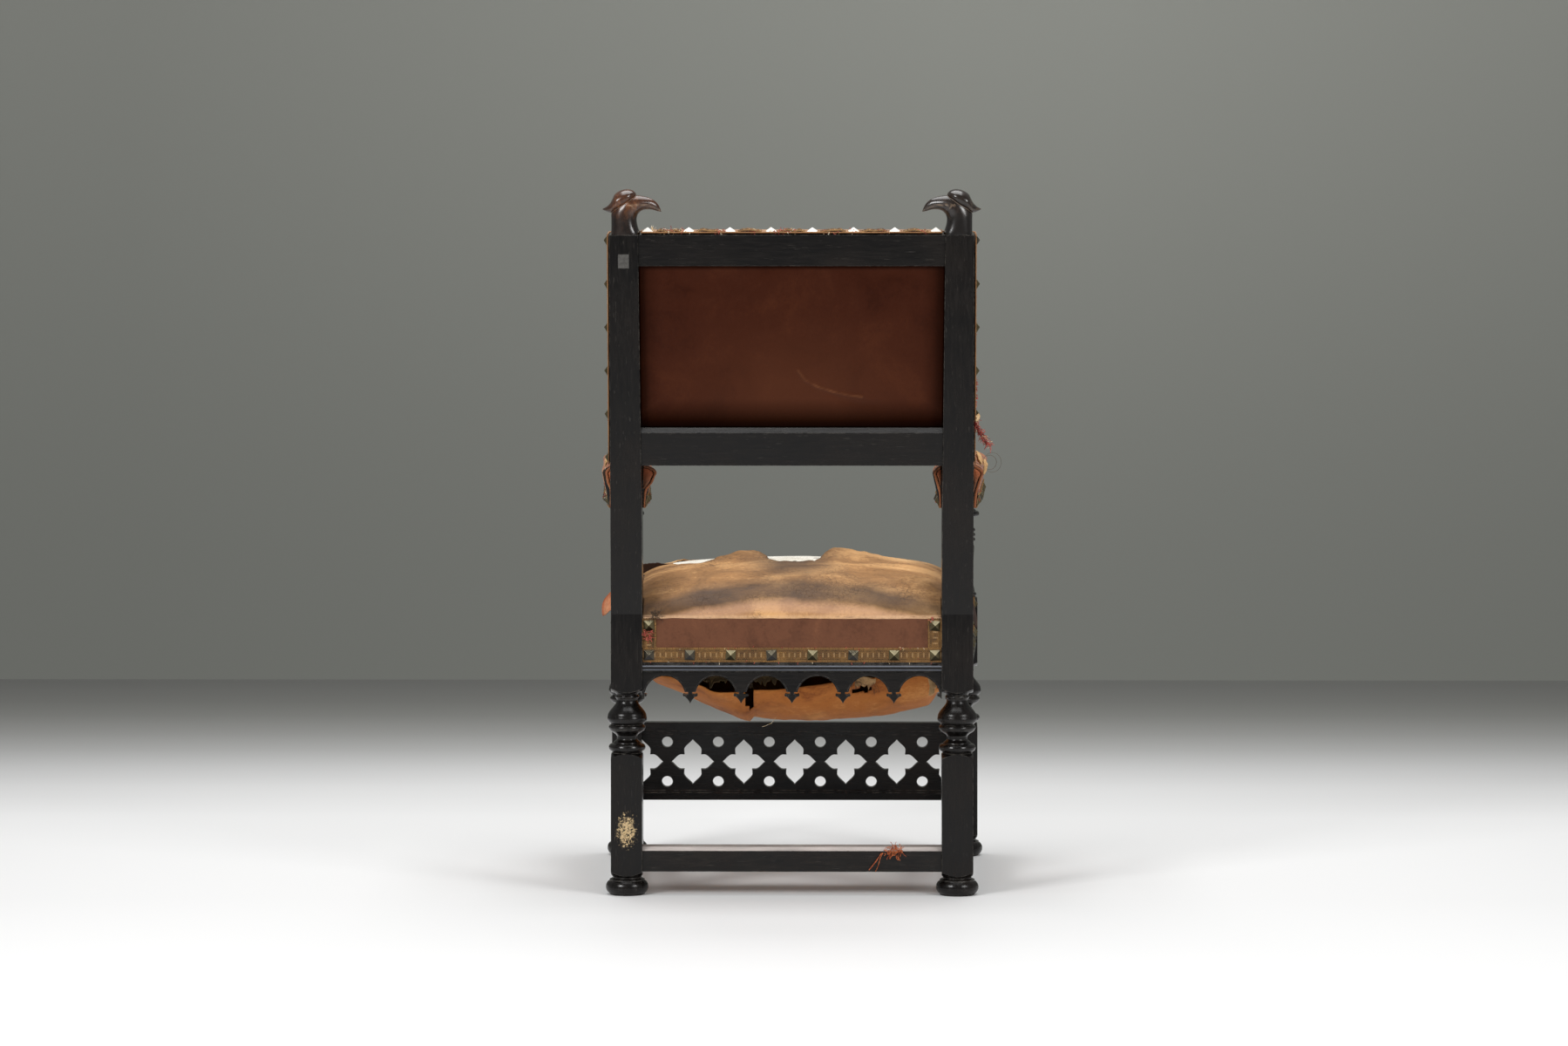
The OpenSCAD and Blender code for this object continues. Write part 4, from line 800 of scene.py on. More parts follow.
def seat_across(x, y):
    """X as it would be at the middle of the seat, where the outline was measured."""
    return x * side_x(SEAT_MID_Y, RAIL_FACE) / side_x(y, RAIL_FACE)


def cover_height(x, y):
    """Top of the white cover."""
    at = seat_across(x, y)
    side = smooth((side_x(y, RAIL_FACE) - abs(x)) / 16)
    top = EDGE_Z + (follow(SMOOTH_CREST, at) - EDGE_Z) * crown((y - SEAT_MID_Y) / SEAT_HALF)
    back = y - SEAT_MID_Y
    top -= 0.9 * smooth((back - 46) / 22) * smooth((64 - abs(at + 6)) / 24) * smooth((170 - back) / 70)
    puckers = 0.9 * rough(x * 0.8, y, 0, 34) + 0.5 * rough(x, y, 9, 14)
    return EDGE_Z + (top - EDGE_Z - 1.4 + puckers) * (0.15 + 0.85 * side) * 0.995


# %% Seat plan
NOTCH_Y = (FRONT_Y + HALF_LEG + 0.6, REAR_Y - HALF_LEG - 0.6)


def notch_x(y):
    """X of the inner faces of the legs, in line from front to back."""
    t = min(1, max(0, (NOTCH_Y[1] - y) / (NOTCH_Y[1] - NOTCH_Y[0])))
    return (REAR_SPAN + (FRONT_SPAN - REAR_SPAN) * t) / 2 - HALF_LEG - 0.6


def seat_plan(out, inner, side_cells=8):
    """Grid over the seat, as flat points. Its outer columns lie beside the legs."""
    ys = (evenly(SEAT_MID_Y - SEAT_HALF - out, NOTCH_Y[0], side_cells)[:-1]
          + evenly(NOTCH_Y[0], NOTCH_Y[1], inner, 0.06)
          + evenly(NOTCH_Y[1], SEAT_MID_Y + SEAT_HALF + out, side_cells)[1:])
    plan = []
    for i in range(inner + 2 * side_cells + 1):
        column = []
        for y in ys:
            near, far = notch_x(y), side_x(y, RAIL_FACE + out)
            xs_mid = evenly(-near, near, inner, 0.06)
            if i < side_cells:
                x = -far + (far - near) * i / side_cells
            elif i > inner + side_cells:
                x = near + (far - near) * (i - inner - side_cells) / side_cells
            else:
                x = xs_mid[i - side_cells]
            column.append((x, y))
        plan.append(column)
    return plan


def leg_notches(out=40):
    """Loops round the four legs, which the seat's covers are cut to."""
    loops = []
    for side in (-1, 1):
        for y, sign in ((NOTCH_Y[0], -1), (NOTCH_Y[1], 1)):
            x = side * notch_x(y)
            far_x, far_y = side * (abs(x) + LEG + out), y + sign * (LEG + out)
            loops.append([(x, y), (far_x, y), (far_x, far_y), (x, far_y)])
    return loops


# %% White cotton
white_cotton, place = start_material("white_cotton")
weave = ribs(place, 420, 1.5, "X") * ribs(place, 420, 1.5, "Y")
soil = cloud(place, 9, 6, 0.65, 0.8)
base = ramp(soil, [(0.35, "d8d2c2"), (0.55, "eeeade"), (0.7, "f4f1e8")])
base = blend(fit(cloud(place, 26, 4), 0.6, 0.75, 0, 0.35), base, "a98c62")
finish_shader(white_cotton, Base_Color=base, Roughness=0.9, Normal=bump(weave, 0.3, 0.5), Sheen_Weight=0.2)

# %% White cover, swollen where the leather has torn open over it
TEAR = [(206, 18), (194, 50), (165, 66), (143, 50), (128, 20), (100, 5), (70, 2), (52, 20), (40, 58),
        (20, 74), (-10, 78), (-34, 66), (-46, 30), (-58, 4), (-82, -8), (-120, -26), (-158, -66),
        (-172, -126), (-124, -184), (-44, -206), (40, -204), (112, -190), (168, -152), (196, -90),
        (212, -30)]
tear_loop = ragged([(x, y + SEAT_MID_Y) for x, y in TEAR], 9, 2.2, 5)
cover_plan = seat_plan(-0.6, 84)
cover = sheet_piece("seat_white_cover", cover_plan, lambda x, y: (x, y, cover_height(x, y)),
                    white_cotton, 0.8, leg_notches())
cover.modifiers.clear()
join_close(cover)
held = []
for vertex in cover.data.vertices:
    at = Vector((vertex.co.x / MM, vertex.co.y / MM))
    away = nearest_on_line(at, tear_loop + tear_loop[:1])[1]
    held.append(1 - SLACK * smooth((away - 3) / 30) if inside(at, tear_loop) else 1.0)
puff(cover, held, 2.5, 3)
add_wall(cover, 0.8)
done(cover, "white_cover", "seat_undercover")

# %% The split leather over the cover


def seat_leather_height(x, y):
    """The leather lies on the cover, and rises in humps along its torn rim."""
    at = seat_across(x, y)
    back = y - SEAT_MID_Y
    reach = 46 if back > 0 else 70
    hump = (follow(TORN_CREST, at) - follow(SMOOTH_CREST, at)) * math.exp(-(back / reach) ** 2)
    away = nearest_on_line(Vector((x, y)), tear_loop + tear_loop[:1])[1]
    rim = 2.0 * math.exp(-away / 12) * (1 + rough(x, y, 5, 18))
    rim *= 1 - 0.4 * smooth((62 - abs(at + 6)) / 26) * smooth((back - 20) / 20)
    if back < -25:
        ruck = 5 * smooth((-120 - back) / 40) + 0.6
        rim += ruck * math.exp(-away / 16) * (0.6 + 0.6 * rough(x, y, 7, 30))
    edge = smooth((SEAT_HALF - abs(back)) / 60)
    spoke = math.sin(math.atan2(x, max(20, abs(back))) * 13 + 2 * rough(x, y, 1, 70))
    folds = 0.9 * spoke * edge * smooth((abs(x) + abs(back) - 40) / 120)
    under = cover_height(x, y) + 1.1
    return max(under, under + hump + rim * edge + folds + 0.6 * rough(x, y, 2, 22))


leather_plan = seat_plan(2.0, 130, 10)
seat_top = sheet_piece("seat_top_leather", leather_plan, lambda x, y: (x, y, seat_leather_height(x, y)),
                       seat_leather_finish, 1.9, leg_notches() + [tear_loop])
done(seat_top, "tan_leather", "seat_leather")

# %% [markdown]
# ## Borders round the seat
# Below the crown, each side of the seat is closed by a plain strip of red-brown leather, nailed to
# the rail under the gallon. The strips are thin sheets that follow the four faces of the seat frame.
# Slow waves keep them from looking like card.

# %% The four faces of the seat
SIDE = {"left": 1, "right": -1}
RAIL_Z = 371
BORDER_Z, BORDER_TOP = RAIL_Z + 16, 462.5
FACES = {
    "rear": (-REAR_SPAN / 2 + HALF_LEG + 0.5, REAR_SPAN / 2 - HALF_LEG - 0.5),
    "front": (-FRONT_SPAN / 2 + HALF_LEG + 0.5, FRONT_SPAN / 2 - HALF_LEG - 0.5),
    "left": (FRONT_Y + HALF_LEG + 0.5, REAR_Y - HALF_LEG - 0.5),
    "right": (FRONT_Y + HALF_LEG + 0.5, REAR_Y - HALF_LEG - 0.5),
}


def face_place(face, s, z, out):
    """A point on one face of the seat: s along it, z up, and a distance out from the leg centres."""
    if face == "rear":
        return Vector((s, REAR_Y + out, z))
    if face == "front":
        return Vector((s, FRONT_Y - out, z))
    return Vector((side_x(s, out) * SIDE[face], s, z))


def face_out(face):
    """The direction in which a face of the seat looks."""
    if face in SIDE:
        return Vector((SIDE[face] * math.cos(SPLAY), math.sin(SPLAY), 0))
    return Vector((0, 1 if face == "rear" else -1, 0))


def join(pieces, name):
    """One object from several, with their modifiers applied."""
    graph = bpy.context.evaluated_depsgraph_get()
    work = bmesh.new()
    finishes = list(dict.fromkeys(piece.data.materials[0] for piece in pieces))
    for piece in pieces:
        mesh = bpy.data.meshes.new_from_object(piece.evaluated_get(graph))
        slot = finishes.index(piece.data.materials[0])
        mesh.polygons.foreach_set("material_index", [slot] * len(mesh.polygons))
        work.from_mesh(mesh)
    mesh = bpy.data.meshes.new(name)
    work.to_mesh(mesh)
    work.free()
    for material in finishes:
        mesh.materials.append(material)
    for piece in pieces:
        bpy.data.objects.remove(piece)
    mesh.polygons.foreach_set("use_smooth", [True] * len(mesh.polygons))
    return add_object(name, mesh)


border_parts = []
for face, (low, high) in FACES.items():
    def border_place(s, z, face=face, low=low, high=high):
        edge = smooth(min(s - low, high - s) / 30) * smooth((z - BORDER_Z - 22) / 20)
        wave = (0.9 * rough(s, z * 0.4, 4, 60) + 0.35 * rough(s, z * 0.3, 8, 17)) * edge
        top = 1.1 * rough(s, 0, 11, 9) * smooth((z - BORDER_TOP + 8) / 8)
        return face_place(face, s, z + top, RAIL_FACE + 0.3 + max(0, wave))
    lines = evenly(low, high, 150)
    if face in ("rear", "right"):
        lines = lines[::-1]
    border_parts.append(sheet_piece("border_" + face, [[(s, z) for z in evenly(BORDER_Z, BORDER_TOP, 22)]
                                    for s in lines], border_place, border_leather, 1.7))
borders = join(border_parts, "seat_border_strips")
done(borders, "border_leather", "seat_borders")

# %% [markdown]
# ## Gallon and nails, repeated by Geometry Nodes
# Gallon is a woven braid. Here one short row of it is modelled: five small knots between two beads.
# A node tree then sets that row on every point of a path. Each point carries two directions, the
# way the braid runs and the way it faces, and these turn the row. The square nails use the same tree.

# %% The tree that repeats a shape on points


def start_tree(name, inputs):
    """A geometry tree with its named inputs, each as (name, kind, value), and what they give."""
    tree = bpy.data.node_groups.new(name, "GeometryNodeTree")
    for label, kind, value in inputs:
        item = tree.interface.new_socket(label, in_out="INPUT", socket_type="NodeSocket" + kind)
        if value is not None:
            item.default_value = value
    tree.interface.new_socket("Geometry", in_out="OUTPUT", socket_type="NodeSocketGeometry")
    return tree, put(tree, "NodeGroupInput").outputs


def end_tree(tree, geometry, finish):
    """Make what was grown real, give it its material, and send it out."""
    real = put(tree, "GeometryNodeRealizeInstances", {"Geometry": geometry})
    painted = put(tree, "GeometryNodeSetMaterial", {"Geometry": real.outputs["Geometry"],
                                                    "Material": finish})
    put(tree, "NodeGroupOutput", {"Geometry": painted.outputs["Geometry"]})


def build_repeat():
    """Set a shape on every point, turned by the point's two directions and a small random twist."""
    tree, given = start_tree("repeat_on_points", (
        ("Points", "Geometry", None), ("Shape", "Object", None), ("Finish", "Material", None),
        ("Twist", "Float", 0.0), ("Smallest", "Float", 1.0), ("Largest", "Float", 1.0), ("Seed", "Int", 1)))

    def named(name):
        item = put(tree, "GeometryNodeInputNamedAttribute", {"Name": name}, data_type="FLOAT_VECTOR")
        return item.outputs["Attribute"]

    def chance(low, high):
        between = {2: low, 3: high, "Seed": given["Seed"]}
        return put(tree, "FunctionNodeRandomValue", between, data_type="FLOAT").outputs[1]

    align = "FunctionNodeAlignRotationToVector"
    stand = put(tree, align, {"Vector": named("outward")}, axis="Z").outputs["Rotation"]
    turn = put(tree, align, {"Rotation": stand, "Vector": named("along")}, axis="X",
               pivot_axis="Z").outputs["Rotation"]
    less = put(tree, "ShaderNodeMath", {0: given["Twist"], 1: -1.0}, operation="MULTIPLY").outputs["Value"]
    spin = put(tree, "ShaderNodeCombineXYZ", {"Z": chance(less, given["Twist"])}).outputs["Vector"]
    euler = put(tree, "FunctionNodeEulerToRotation", {"Euler": spin}).outputs["Rotation"]
    turned = put(tree, "FunctionNodeRotateRotation", {"Rotation": turn, "Rotate By": euler},
                 rotation_space="LOCAL").outputs["Rotation"]
    shape = put(tree, "GeometryNodeObjectInfo", {"Object": given["Shape"]}, transform_space="ORIGINAL")
    placed = put(tree, "GeometryNodeInstanceOnPoints", {
        "Points": given["Points"], "Instance": shape.outputs["Geometry"], "Rotation": turned,
        "Scale": chance(given["Smallest"], given["Largest"])})
    end_tree(tree, placed.outputs["Instances"], given["Finish"])
    return tree


repeat_tree = build_repeat()

# %% Trees at work


def use_tree(piece, tree, **values):
    """Run a node tree on a piece and return the plain mesh object it makes."""
    step = piece.modifiers.new("grow", "NODES")
    step.node_group = tree
    for item in tree.interface.items_tree:
        key = item.name.lower().replace(" ", "_")
        if item.in_out == "INPUT" and key in values:
            step[item.identifier] = values[key]
    graph = bpy.context.evaluated_depsgraph_get()
    mesh = bpy.data.meshes.new_from_object(piece.evaluated_get(graph))
    name = piece.name
    bpy.data.objects.remove(piece)
    mesh.name = name
    return add_object(name, mesh)


def repeat(name, spots, shape, finish, **values):
    """Set a shape on spots. Each spot is (place, along, outward), in millimetres."""
    points = mesh_piece(name, [spot[0] for spot in spots], [])
    for k, key in ((1, "along"), (2, "outward")):
        data = points.data.attributes.new(key, "FLOAT_VECTOR", "POINT")
        data.data.foreach_set("vector", [c for spot in spots for c in spot[k]])
    beat = points.data.attributes.new("beat", "FLOAT", "POINT")
    beat.data.foreach_set("value", [k % 3 / 2 for k in range(len(spots))])
    made = use_tree(points, repeat_tree, shape=shape, finish=finish, **values)
    made.data.polygons.foreach_set("use_smooth", [False] * len(made.data.polygons))
    return made


# %% The row of gallon and the nail
GALLON_W, ROW = 24, 3.1


def tapered_block(points, faces, x, y, z, w, d, h, top=0.6):
    """Add a small block with a narrower top and no floor."""
    base = len(points)
    for k, lift in ((1.0, 0), (top, h)):
        for sx, sy in ((-1, -1), (1, -1), (1, 1), (-1, 1)):
            points.append((x + sx * w / 2 * k, y + sy * d / 2 * k, z + lift))
    faces.append((base + 4, base + 5, base + 6, base + 7))
    faces.extend((base + k, base + (k + 1) % 4, base + 4 + (k + 1) % 4, base + 4 + k) for k in range(4))


def pattern(piece):
    """A shape that is only repeated, and is not itself part of the chair."""
    piece.hide_render = True
    piece.hide_viewport = True
    return piece


points, faces = [], []
half = GALLON_W / 2
points += [(-ROW / 2, -half, 0), (ROW / 2, -half, 0), (ROW / 2, half, 0), (-ROW / 2, half, 0),
           (-ROW / 2, -half, 0.7), (ROW / 2, -half, 0.7), (ROW / 2, half, 0.7), (-ROW / 2, half, 0.7)]
faces += [(4, 5, 6, 7), (0, 1, 5, 4), (2, 3, 7, 6)]
for k in range(5):
    tapered_block(points, faces, 0, (k - 2) * 3.5, 0.6, 2.5, 2.8, 0.9)
for side in (-1, 1):
    tapered_block(points, faces, 0, side * (half - 1.2), 0.5, 2.9, 2.4, 1.5, 0.45)
gallon_row = pattern(mesh_piece("gallon_row", points, faces))
for key, values in (("raised", [smooth((p[2] - 0.7) / 0.8) for p in points]),
                    ("aside", [abs(p[1]) / half for p in points])):
    gallon_row.data.attributes.new(key, "FLOAT", "POINT").data.foreach_set("value", values)

NAIL_W, NAIL_H = 17.5, 7
points, faces = [], []
tapered_block(points, faces, 0, 0, 0, NAIL_W, NAIL_W, 1.0, 0.97)
faces.pop(0)
base = len(points)
points += [(0.35 * sx, 0.35 * sy, NAIL_H) for sx, sy in ((-1, -1), (1, -1), (1, 1), (-1, 1))]
faces += [(4 + k, 4 + (k + 1) % 4, base + (k + 1) % 4, base + k)
          for k in range(4)] + [tuple(range(base, base + 4))]
nail_shape = pattern(mesh_piece("nail_shape", points, faces))
print("a gallon row has", len(gallon_row.data.polygons), "faces, a nail", len(nail_shape.data.polygons))

# %% Their finishes
braid, place = start_material("gallon_braid")
tone = cloud(place, 30, 5, 0.7, 0.4)
fibre = cloud(stretch(place, (1, 1, 0.4)), 1500, 3, 0.6)
base = ramp(tone * 0.55 + fibre * 0.45, [(0.38, "20140a"), (0.48, "5a3b1e"), (0.56, "85602f"),
                                         (0.66, "b48a52")])
base = blend(fit(cloud(place, 60, 4, 0.6, 0.6), 0.63, 0.70, 0, 0.55), base, "8a3a20")
lifted, aside, beat = (attribute(place, name) for name in ("raised", "aside", "beat"))
# Painted shade: the low parts of the braid, between its knots, are darkened.
base = blend(fit(lifted, 0.0, 0.45, 0.85, 0.0), base, "150c05")
middle = fit(aside, 0.34, 0.26)
base = blend(middle * (beat < 0.3) * 0.3, base, "dab98a")
base = blend(middle * (beat > 0.3) * 0.25, base, "2c1a0c")
line = fit(aside, 0.40, 0.50) * fit(aside, 0.72, 0.62)
base = blend(line * 0.35, base, "1c1108")
base = blend(fit(aside, 0.84, 0.9, 0, 0.3), base, "b98c50")
finish_shader(braid, Base_Color=base, Roughness=0.92, Normal=bump(fibre, 0.4, 0.8))

nail_metal, place = start_material("nail_metal")
tarnish = cloud(place, 60, 6, 0.7, 0.3)
# Painted light: facets that look up are lighter, and facets that look down darker.
base = ramp(fit(facing(place, "Z"), -0.5, 0.5), [(0.0, "2c2719"), (0.5, "645b42"), (1.0, "a59b7c")])
steel = cloud(place, 17, 0)
base = blend(fit(steel, 0.54, 0.58, 0, 0.6), base, "403f42")
base = blend(fit(tarnish, 0.52, 0.66, 0, 0.45), base, "2c261a")
# The nails on the top rail are made near white at their tips.
on_top = abs(axis_of(place, "X")) < 0.27
white_tip = on_top * fit(axis_of(place, "Z"), 1.085, 1.095, 0, 0.8)
base = blend(white_tip, base, "f2efe8")
soft = shade(place, "Bevel", {"Radius": 0.5 * MM}, samples=4)["Normal"]
finish_shader(nail_metal, Base_Color=base, Metallic=fit(tarnish - white_tip, 0.2, 0.4, 0.0, 0.9),
              Roughness=fit(tarnish, 0.35, 0.65, 0.42, 0.22), Normal=bump(tarnish, 0.1, 0.2, soft))

# %% Paths for the gallon
GALLON_OUT = RAIL_FACE + 2.1
NAIL_PITCH, UPRIGHT_ROW = 68, 10.5
TOP_OF_BORDER = EDGE_Z + 1.2
jitter = random.Random(11)


def straight(start, end, outward, skip=lambda t: False, lift=lambda t: 0.0):
    """Spots for gallon rows along a straight line."""
    start, end, outward = Vector(start), Vector(end), Vector(outward)
    length = (end - start).length
    count = int(length / ROW)
    along = (end - start).normalized()
    spots = []
    for k in range(count):
        t = (k + 0.5) / count
        if skip(t):
            continue
        wobble = outward * (jitter.uniform(0, 0.35) + lift(t))
        spots.append((start + (end - start) * t + wobble, along, outward))
    return spots


seat_rows = []
for face, (low, high) in FACES.items():
    mid_row = BORDER_Z + GALLON_W / 2 + 0.2
    seat_rows += straight(face_place(face, low, mid_row, GALLON_OUT),
                          face_place(face, high, mid_row, GALLON_OUT), face_out(face))
    for s in (low + UPRIGHT_ROW, high - UPRIGHT_ROW):
        seat_rows += straight(face_place(face, s, BORDER_Z + GALLON_W, GALLON_OUT),
                              face_place(face, s, TOP_OF_BORDER, GALLON_OUT), face_out(face))
seat_gallon = repeat("seat_gallon_braid", seat_rows, gallon_row, braid, seed=3, twist=0.03)
done(seat_gallon, "gallon", "seat_gallon")


def nail_places(start, end):
    """Places for nails along a line, at about the usual pitch and with one at each end."""
    count = max(1, round(abs(end - start) / NAIL_PITCH))
    return [start + (end - start) * k / count for k in range(count + 1)]


seat_nail_spots = []
for face, (low, high) in FACES.items():
    margin = NAIL_W / 2 + 2 - 0.1
    outward = face_out(face)
    along = Vector((0, 0, 1)).cross(outward)
    heights = [(s, BORDER_Z + GALLON_W / 2) for s in nail_places(low + margin, high - margin)]
    heights += [(s, TOP_OF_BORDER - NAIL_W / 2 - 4) for s in (low + margin, high - margin)]
    for s, z in heights:
        seat_nail_spots.append((face_place(face, s, z, GALLON_OUT + 1.0), along, outward))
seat_nails = repeat("seat_nail_heads", seat_nail_spots, nail_shape, nail_metal, seed=7, twist=0.07,
                    smallest=0.95, largest=1.0)
done(seat_nails, "nails", "seat_nails")

# %% Gallon and nails of the back
WRAP_T, WRAP_Y = 2.1, 31
STRIP_Y = WRAP_Y - GALLON_W / 2 - 1
UP_AXIS = Vector((0, math.sin(RAKE), math.cos(RAKE)))
BACK_AXIS = Vector((0, math.cos(RAKE), -math.sin(RAKE)))
back_rows = []


def bare_right(t):
    """Where the right side has lost its gallon, low down, with only some rows left above that."""
    return t < 0.19 or (t < 0.34 and jitter.random() < 0.5)


for side, bare in ((-1, bare_right), (1, lambda t: t < 0.05)):
    flank = side * (POST_SIDE + WRAP_T)
    back_rows += straight(leaning(flank, STRIP_Y, LOW_POS), leaning(flank, STRIP_Y, BACK_LEN),
                          (side, 0, 0), bare)
TOP_HALF = REAR_SPAN / 2 - HALF_LEG
TOP_ROW = TOP_HALF - 0.5
NAIL_EDGE = NAIL_W / 2 + 2
TOP_NAILS = nail_places(-TOP_HALF + NAIL_EDGE, TOP_HALF - NAIL_EDGE)


def top_lift(t):
    """Between two nails the gallon on the top rail stands off the leather."""
    x = TOP_ROW * (1 - 2 * t)
    away = min(abs(x - nail) for nail in TOP_NAILS)
    return 5.0 * smooth((away - 9) / 14) * (0.6 + 0.5 * rough(x, 3, 0, 13))


top_line = BACK_LEN + WRAP_T
back_rows += straight(leaning(TOP_ROW, STRIP_Y, top_line), leaning(-TOP_ROW, STRIP_Y, top_line),
                      UP_AXIS, lambda t: 0.40 < t < 0.425 or 0.02 < t < 0.05, top_lift)
WEBBING, GAPS, STUFFING, SKIN = 2 * 1.6, 0.1 + 0.2 + 0.2, 1, 2
LOW_FRONT = WEBBING + GAPS + STUFFING + SKIN
LOW_ROW = LOW_POS + GALLON_W / 2
back_rows += straight(leaning(300, -LOW_FRONT, LOW_ROW), leaning(-300, -LOW_FRONT, LOW_ROW),
                      -BACK_AXIS)
back_gallon = repeat("back_gallon_braid", back_rows, gallon_row, braid, seed=4, twist=0.04)
done(back_gallon, "gallon", "back_gallon")

back_nail_spots = []
for side in (-1, 1):
    for up in nail_places(LOW_POS + NAIL_EDGE, BACK_LEN - NAIL_EDGE):
        if side > 0 or up > LOW_POS + 60:
            spot_at = leaning(side * (POST_SIDE + WRAP_T + 1), STRIP_Y, up)
            back_nail_spots.append((spot_at, UP_AXIS, (side, 0, 0)))
for x in TOP_NAILS:
    back_nail_spots.append((leaning(x, STRIP_Y, BACK_LEN + WRAP_T + 1.5), (1, 0, 0), UP_AXIS))
for x in nail_places(-POST_SIDE + NAIL_EDGE, POST_SIDE - NAIL_EDGE):
    back_nail_spots.append((leaning(x, -LOW_FRONT - 1, LOW_ROW), (1, 0, 0), -BACK_AXIS))
back_nails = repeat("back_nail_heads", back_nail_spots, nail_shape, nail_metal, seed=9, twist=0.07,
                    smallest=0.95, largest=1.0)
done(back_nails, "nails", "back_nails")

# %% [markdown]
# ## The torn sheet under the seat
# A wide piece of leather was nailed under the seat to hide the webbing. It has come away from the back
# rail and hangs like a hammock, lowest a little in front of that rail. Two tables hold what the eye
# sees from behind: the height of its loose edge, and the height of its belly.

# %% Hanging sheet
LOOSE_EDGE = ((-270, 369), (-237, 366), (-200, 361), (-150, 356), (-110, 352), (-74, 349), (-30, 342),
              (13, 336), (64, 335), (80, 330), (126, 331), (160, 344), (180, 352), (239, 362), (270, 368))
BELLY = ((-270, 316), (-237, 303), (-216, 294), (-184, 286.5), (-147, 280), (-111, 275.5), (-67, 272),
         (-38, 271), (0, 272.5), (35, 274.5), (64, 276.5), (72, 269), (109, 283), (145, 299), (180, 316),
         (239, 342), (270, 362))
SHEET_REAR, SHEET_FRONT, BELLY_AT = REAR_Y - 44, FRONT_Y + 30, 0.34
SHEET_TOP = RAIL_Z - 0.6


def sheet_edge(y):
    return side_x(y, 1.5)


def hanging(x, y):
    """Where a point of the sheet hangs: loose at the rear, then the belly, then up to the front rail."""
    v = (SHEET_REAR - y) / (SHEET_REAR - SHEET_FRONT)
    at = max(-270, min(270, x * sheet_edge(SHEET_REAR) / sheet_edge(y)))
    loose, low = follow(LOOSE_EDGE, at), follow(BELLY, at)
    if v < BELLY_AT:
        z = loose + (low - loose) * math.sin(math.pi / 2 * v / BELLY_AT) ** 0.85
    else:
        z = low + (SHEET_TOP - low) * ((v - BELLY_AT) / (1 - BELLY_AT)) ** 1.7
    grip = smooth((sheet_edge(y) - abs(x)) / 55)
    if x < 0:
        grip = max(grip, 1 - smooth((v - 0.12) / 0.25))
    z = SHEET_TOP - (SHEET_TOP - z) * grip
    crumple = 2.6 * rough(x, y, 0, 60) + 1.1 * rough(x * 1.4, y, 5, 22)
    crumple += 1.6 * abs(rough(x, y * 0.4, 9, 40))
    crumple *= smooth((SHEET_TOP - z) / 30)
    swing = -6 * smooth((BELLY_AT - v) / BELLY_AT) * rough(x, 0, 14, 70)
    return (x, y + swing, min(SHEET_TOP, z - crumple))


under_tear = [(62, 10), (79, 10), (74, -60), (71, -128), (69, -60)]
right_tear = [(-232, 14), (-300, 14), (-300, -96), (-262, -84), (-249, -60), (-240, -30)]
small_tear = [(-96, -14), (-118, -10), (-136, -16), (-128, -26), (-106, -24)]
under_holes = [ragged([(x, y + SHEET_REAR) for x, y in loop], 7, depth, seed)
               for loop, depth, seed in ((under_tear, 1.2, 3), (right_tear, 4.5, 4), (small_tear, 1.5, 6))]
flat = [[(sheet_edge(y) * math.sin(math.pi / 2 * (i / 60 - 1)), y)
         for y in evenly(SHEET_FRONT, SHEET_REAR, 96)] for i in range(121)]
under_sheet = sheet_piece("under_seat_sheet", flat[::-1], hanging, under_leather, 1.8, under_holes,
                          offset=-1.0)
done(under_sheet, "under_leather", "under_seat_leather")

# %% [markdown]
# ## Webbing, hessian and hair
# A stuffed seat is built up from below: straps of webbing, a sheet of hessian, a thick layer of
# curled hair and a cotton cover. Hardly any of it shows, but the torn sheet lets one look up at the
# straps. They are plain woven bands, and they sag a little between their nails.

# %% Woven finishes


def woven(name, dark, light, size):
    """Plain weave: two crossed waves, with dust in it."""
    material, place = start_material(name)
    weave = ribs(place, size, 2, "X") * 0.5 + ribs(place, size, 2, "Y") * 0.5
    dust = cloud(place, 24, 5, 0.65)
    base = ramp((weave + dust) * 0.5, [(0.3, dark), (0.65, light)])
    finish_shader(material, Base_Color=base, Roughness=0.95, Normal=bump(weave, 0.6, 1.0))
    return material


web_cloth = woven("web_cloth", "4a3a24", "a08a60", 260)
hessian_cloth = woven("hessian_cloth", "3a2c1a", "8a7048", 330)
hair_fill, place = start_material("hair_fill")
curls = cloud(place, 420, 8, 0.8, 3.5)
finish_shader(hair_fill, Base_Color=ramp(curls, [(0.35, "0f0b08"), (0.62, "3f2f20")]), Roughness=0.95,
              Normal=bump(curls, 0.8, 2.0))
give(hair_fill, "seat_stuffing", "back_stuffing", "arm_stuffing_left", "arm_stuffing_right")
give(web_cloth, "back_webbing")

# %% Where the straps lie


def find_straps():
    """Each strap of the CAD node as (axis it runs along, place across, lowest corner, highest corner)."""
    work = bmesh.new()
    work.from_mesh(nodes["seat_webbing"].data)
    bmesh.ops.remove_doubles(work, verts=work.verts, dist=1e-6)
    left_over, found = set(work.verts), []
    while left_over:
        island, queue = [], [left_over.pop()]
        while queue:
            vert = queue.pop()
            island.append(vert.co.copy())
            for edge in vert.link_edges:
                other = edge.other_vert(vert)
                if other in left_over:
                    left_over.remove(other)
                    queue.append(other)
        low = Vector([min(p[k] for p in island) for k in range(3)]) / MM
        high = Vector([max(p[k] for p in island) for k in range(3)]) / MM
        run = 1 if (high - low).y > (high - low).x else 0
        found.append((run, low[1 - run], low, high))
    work.free()
    # A set gives its members in no fixed order, so the straps are sorted by their places.
    return sorted(found, key=lambda strap: strap[:2])


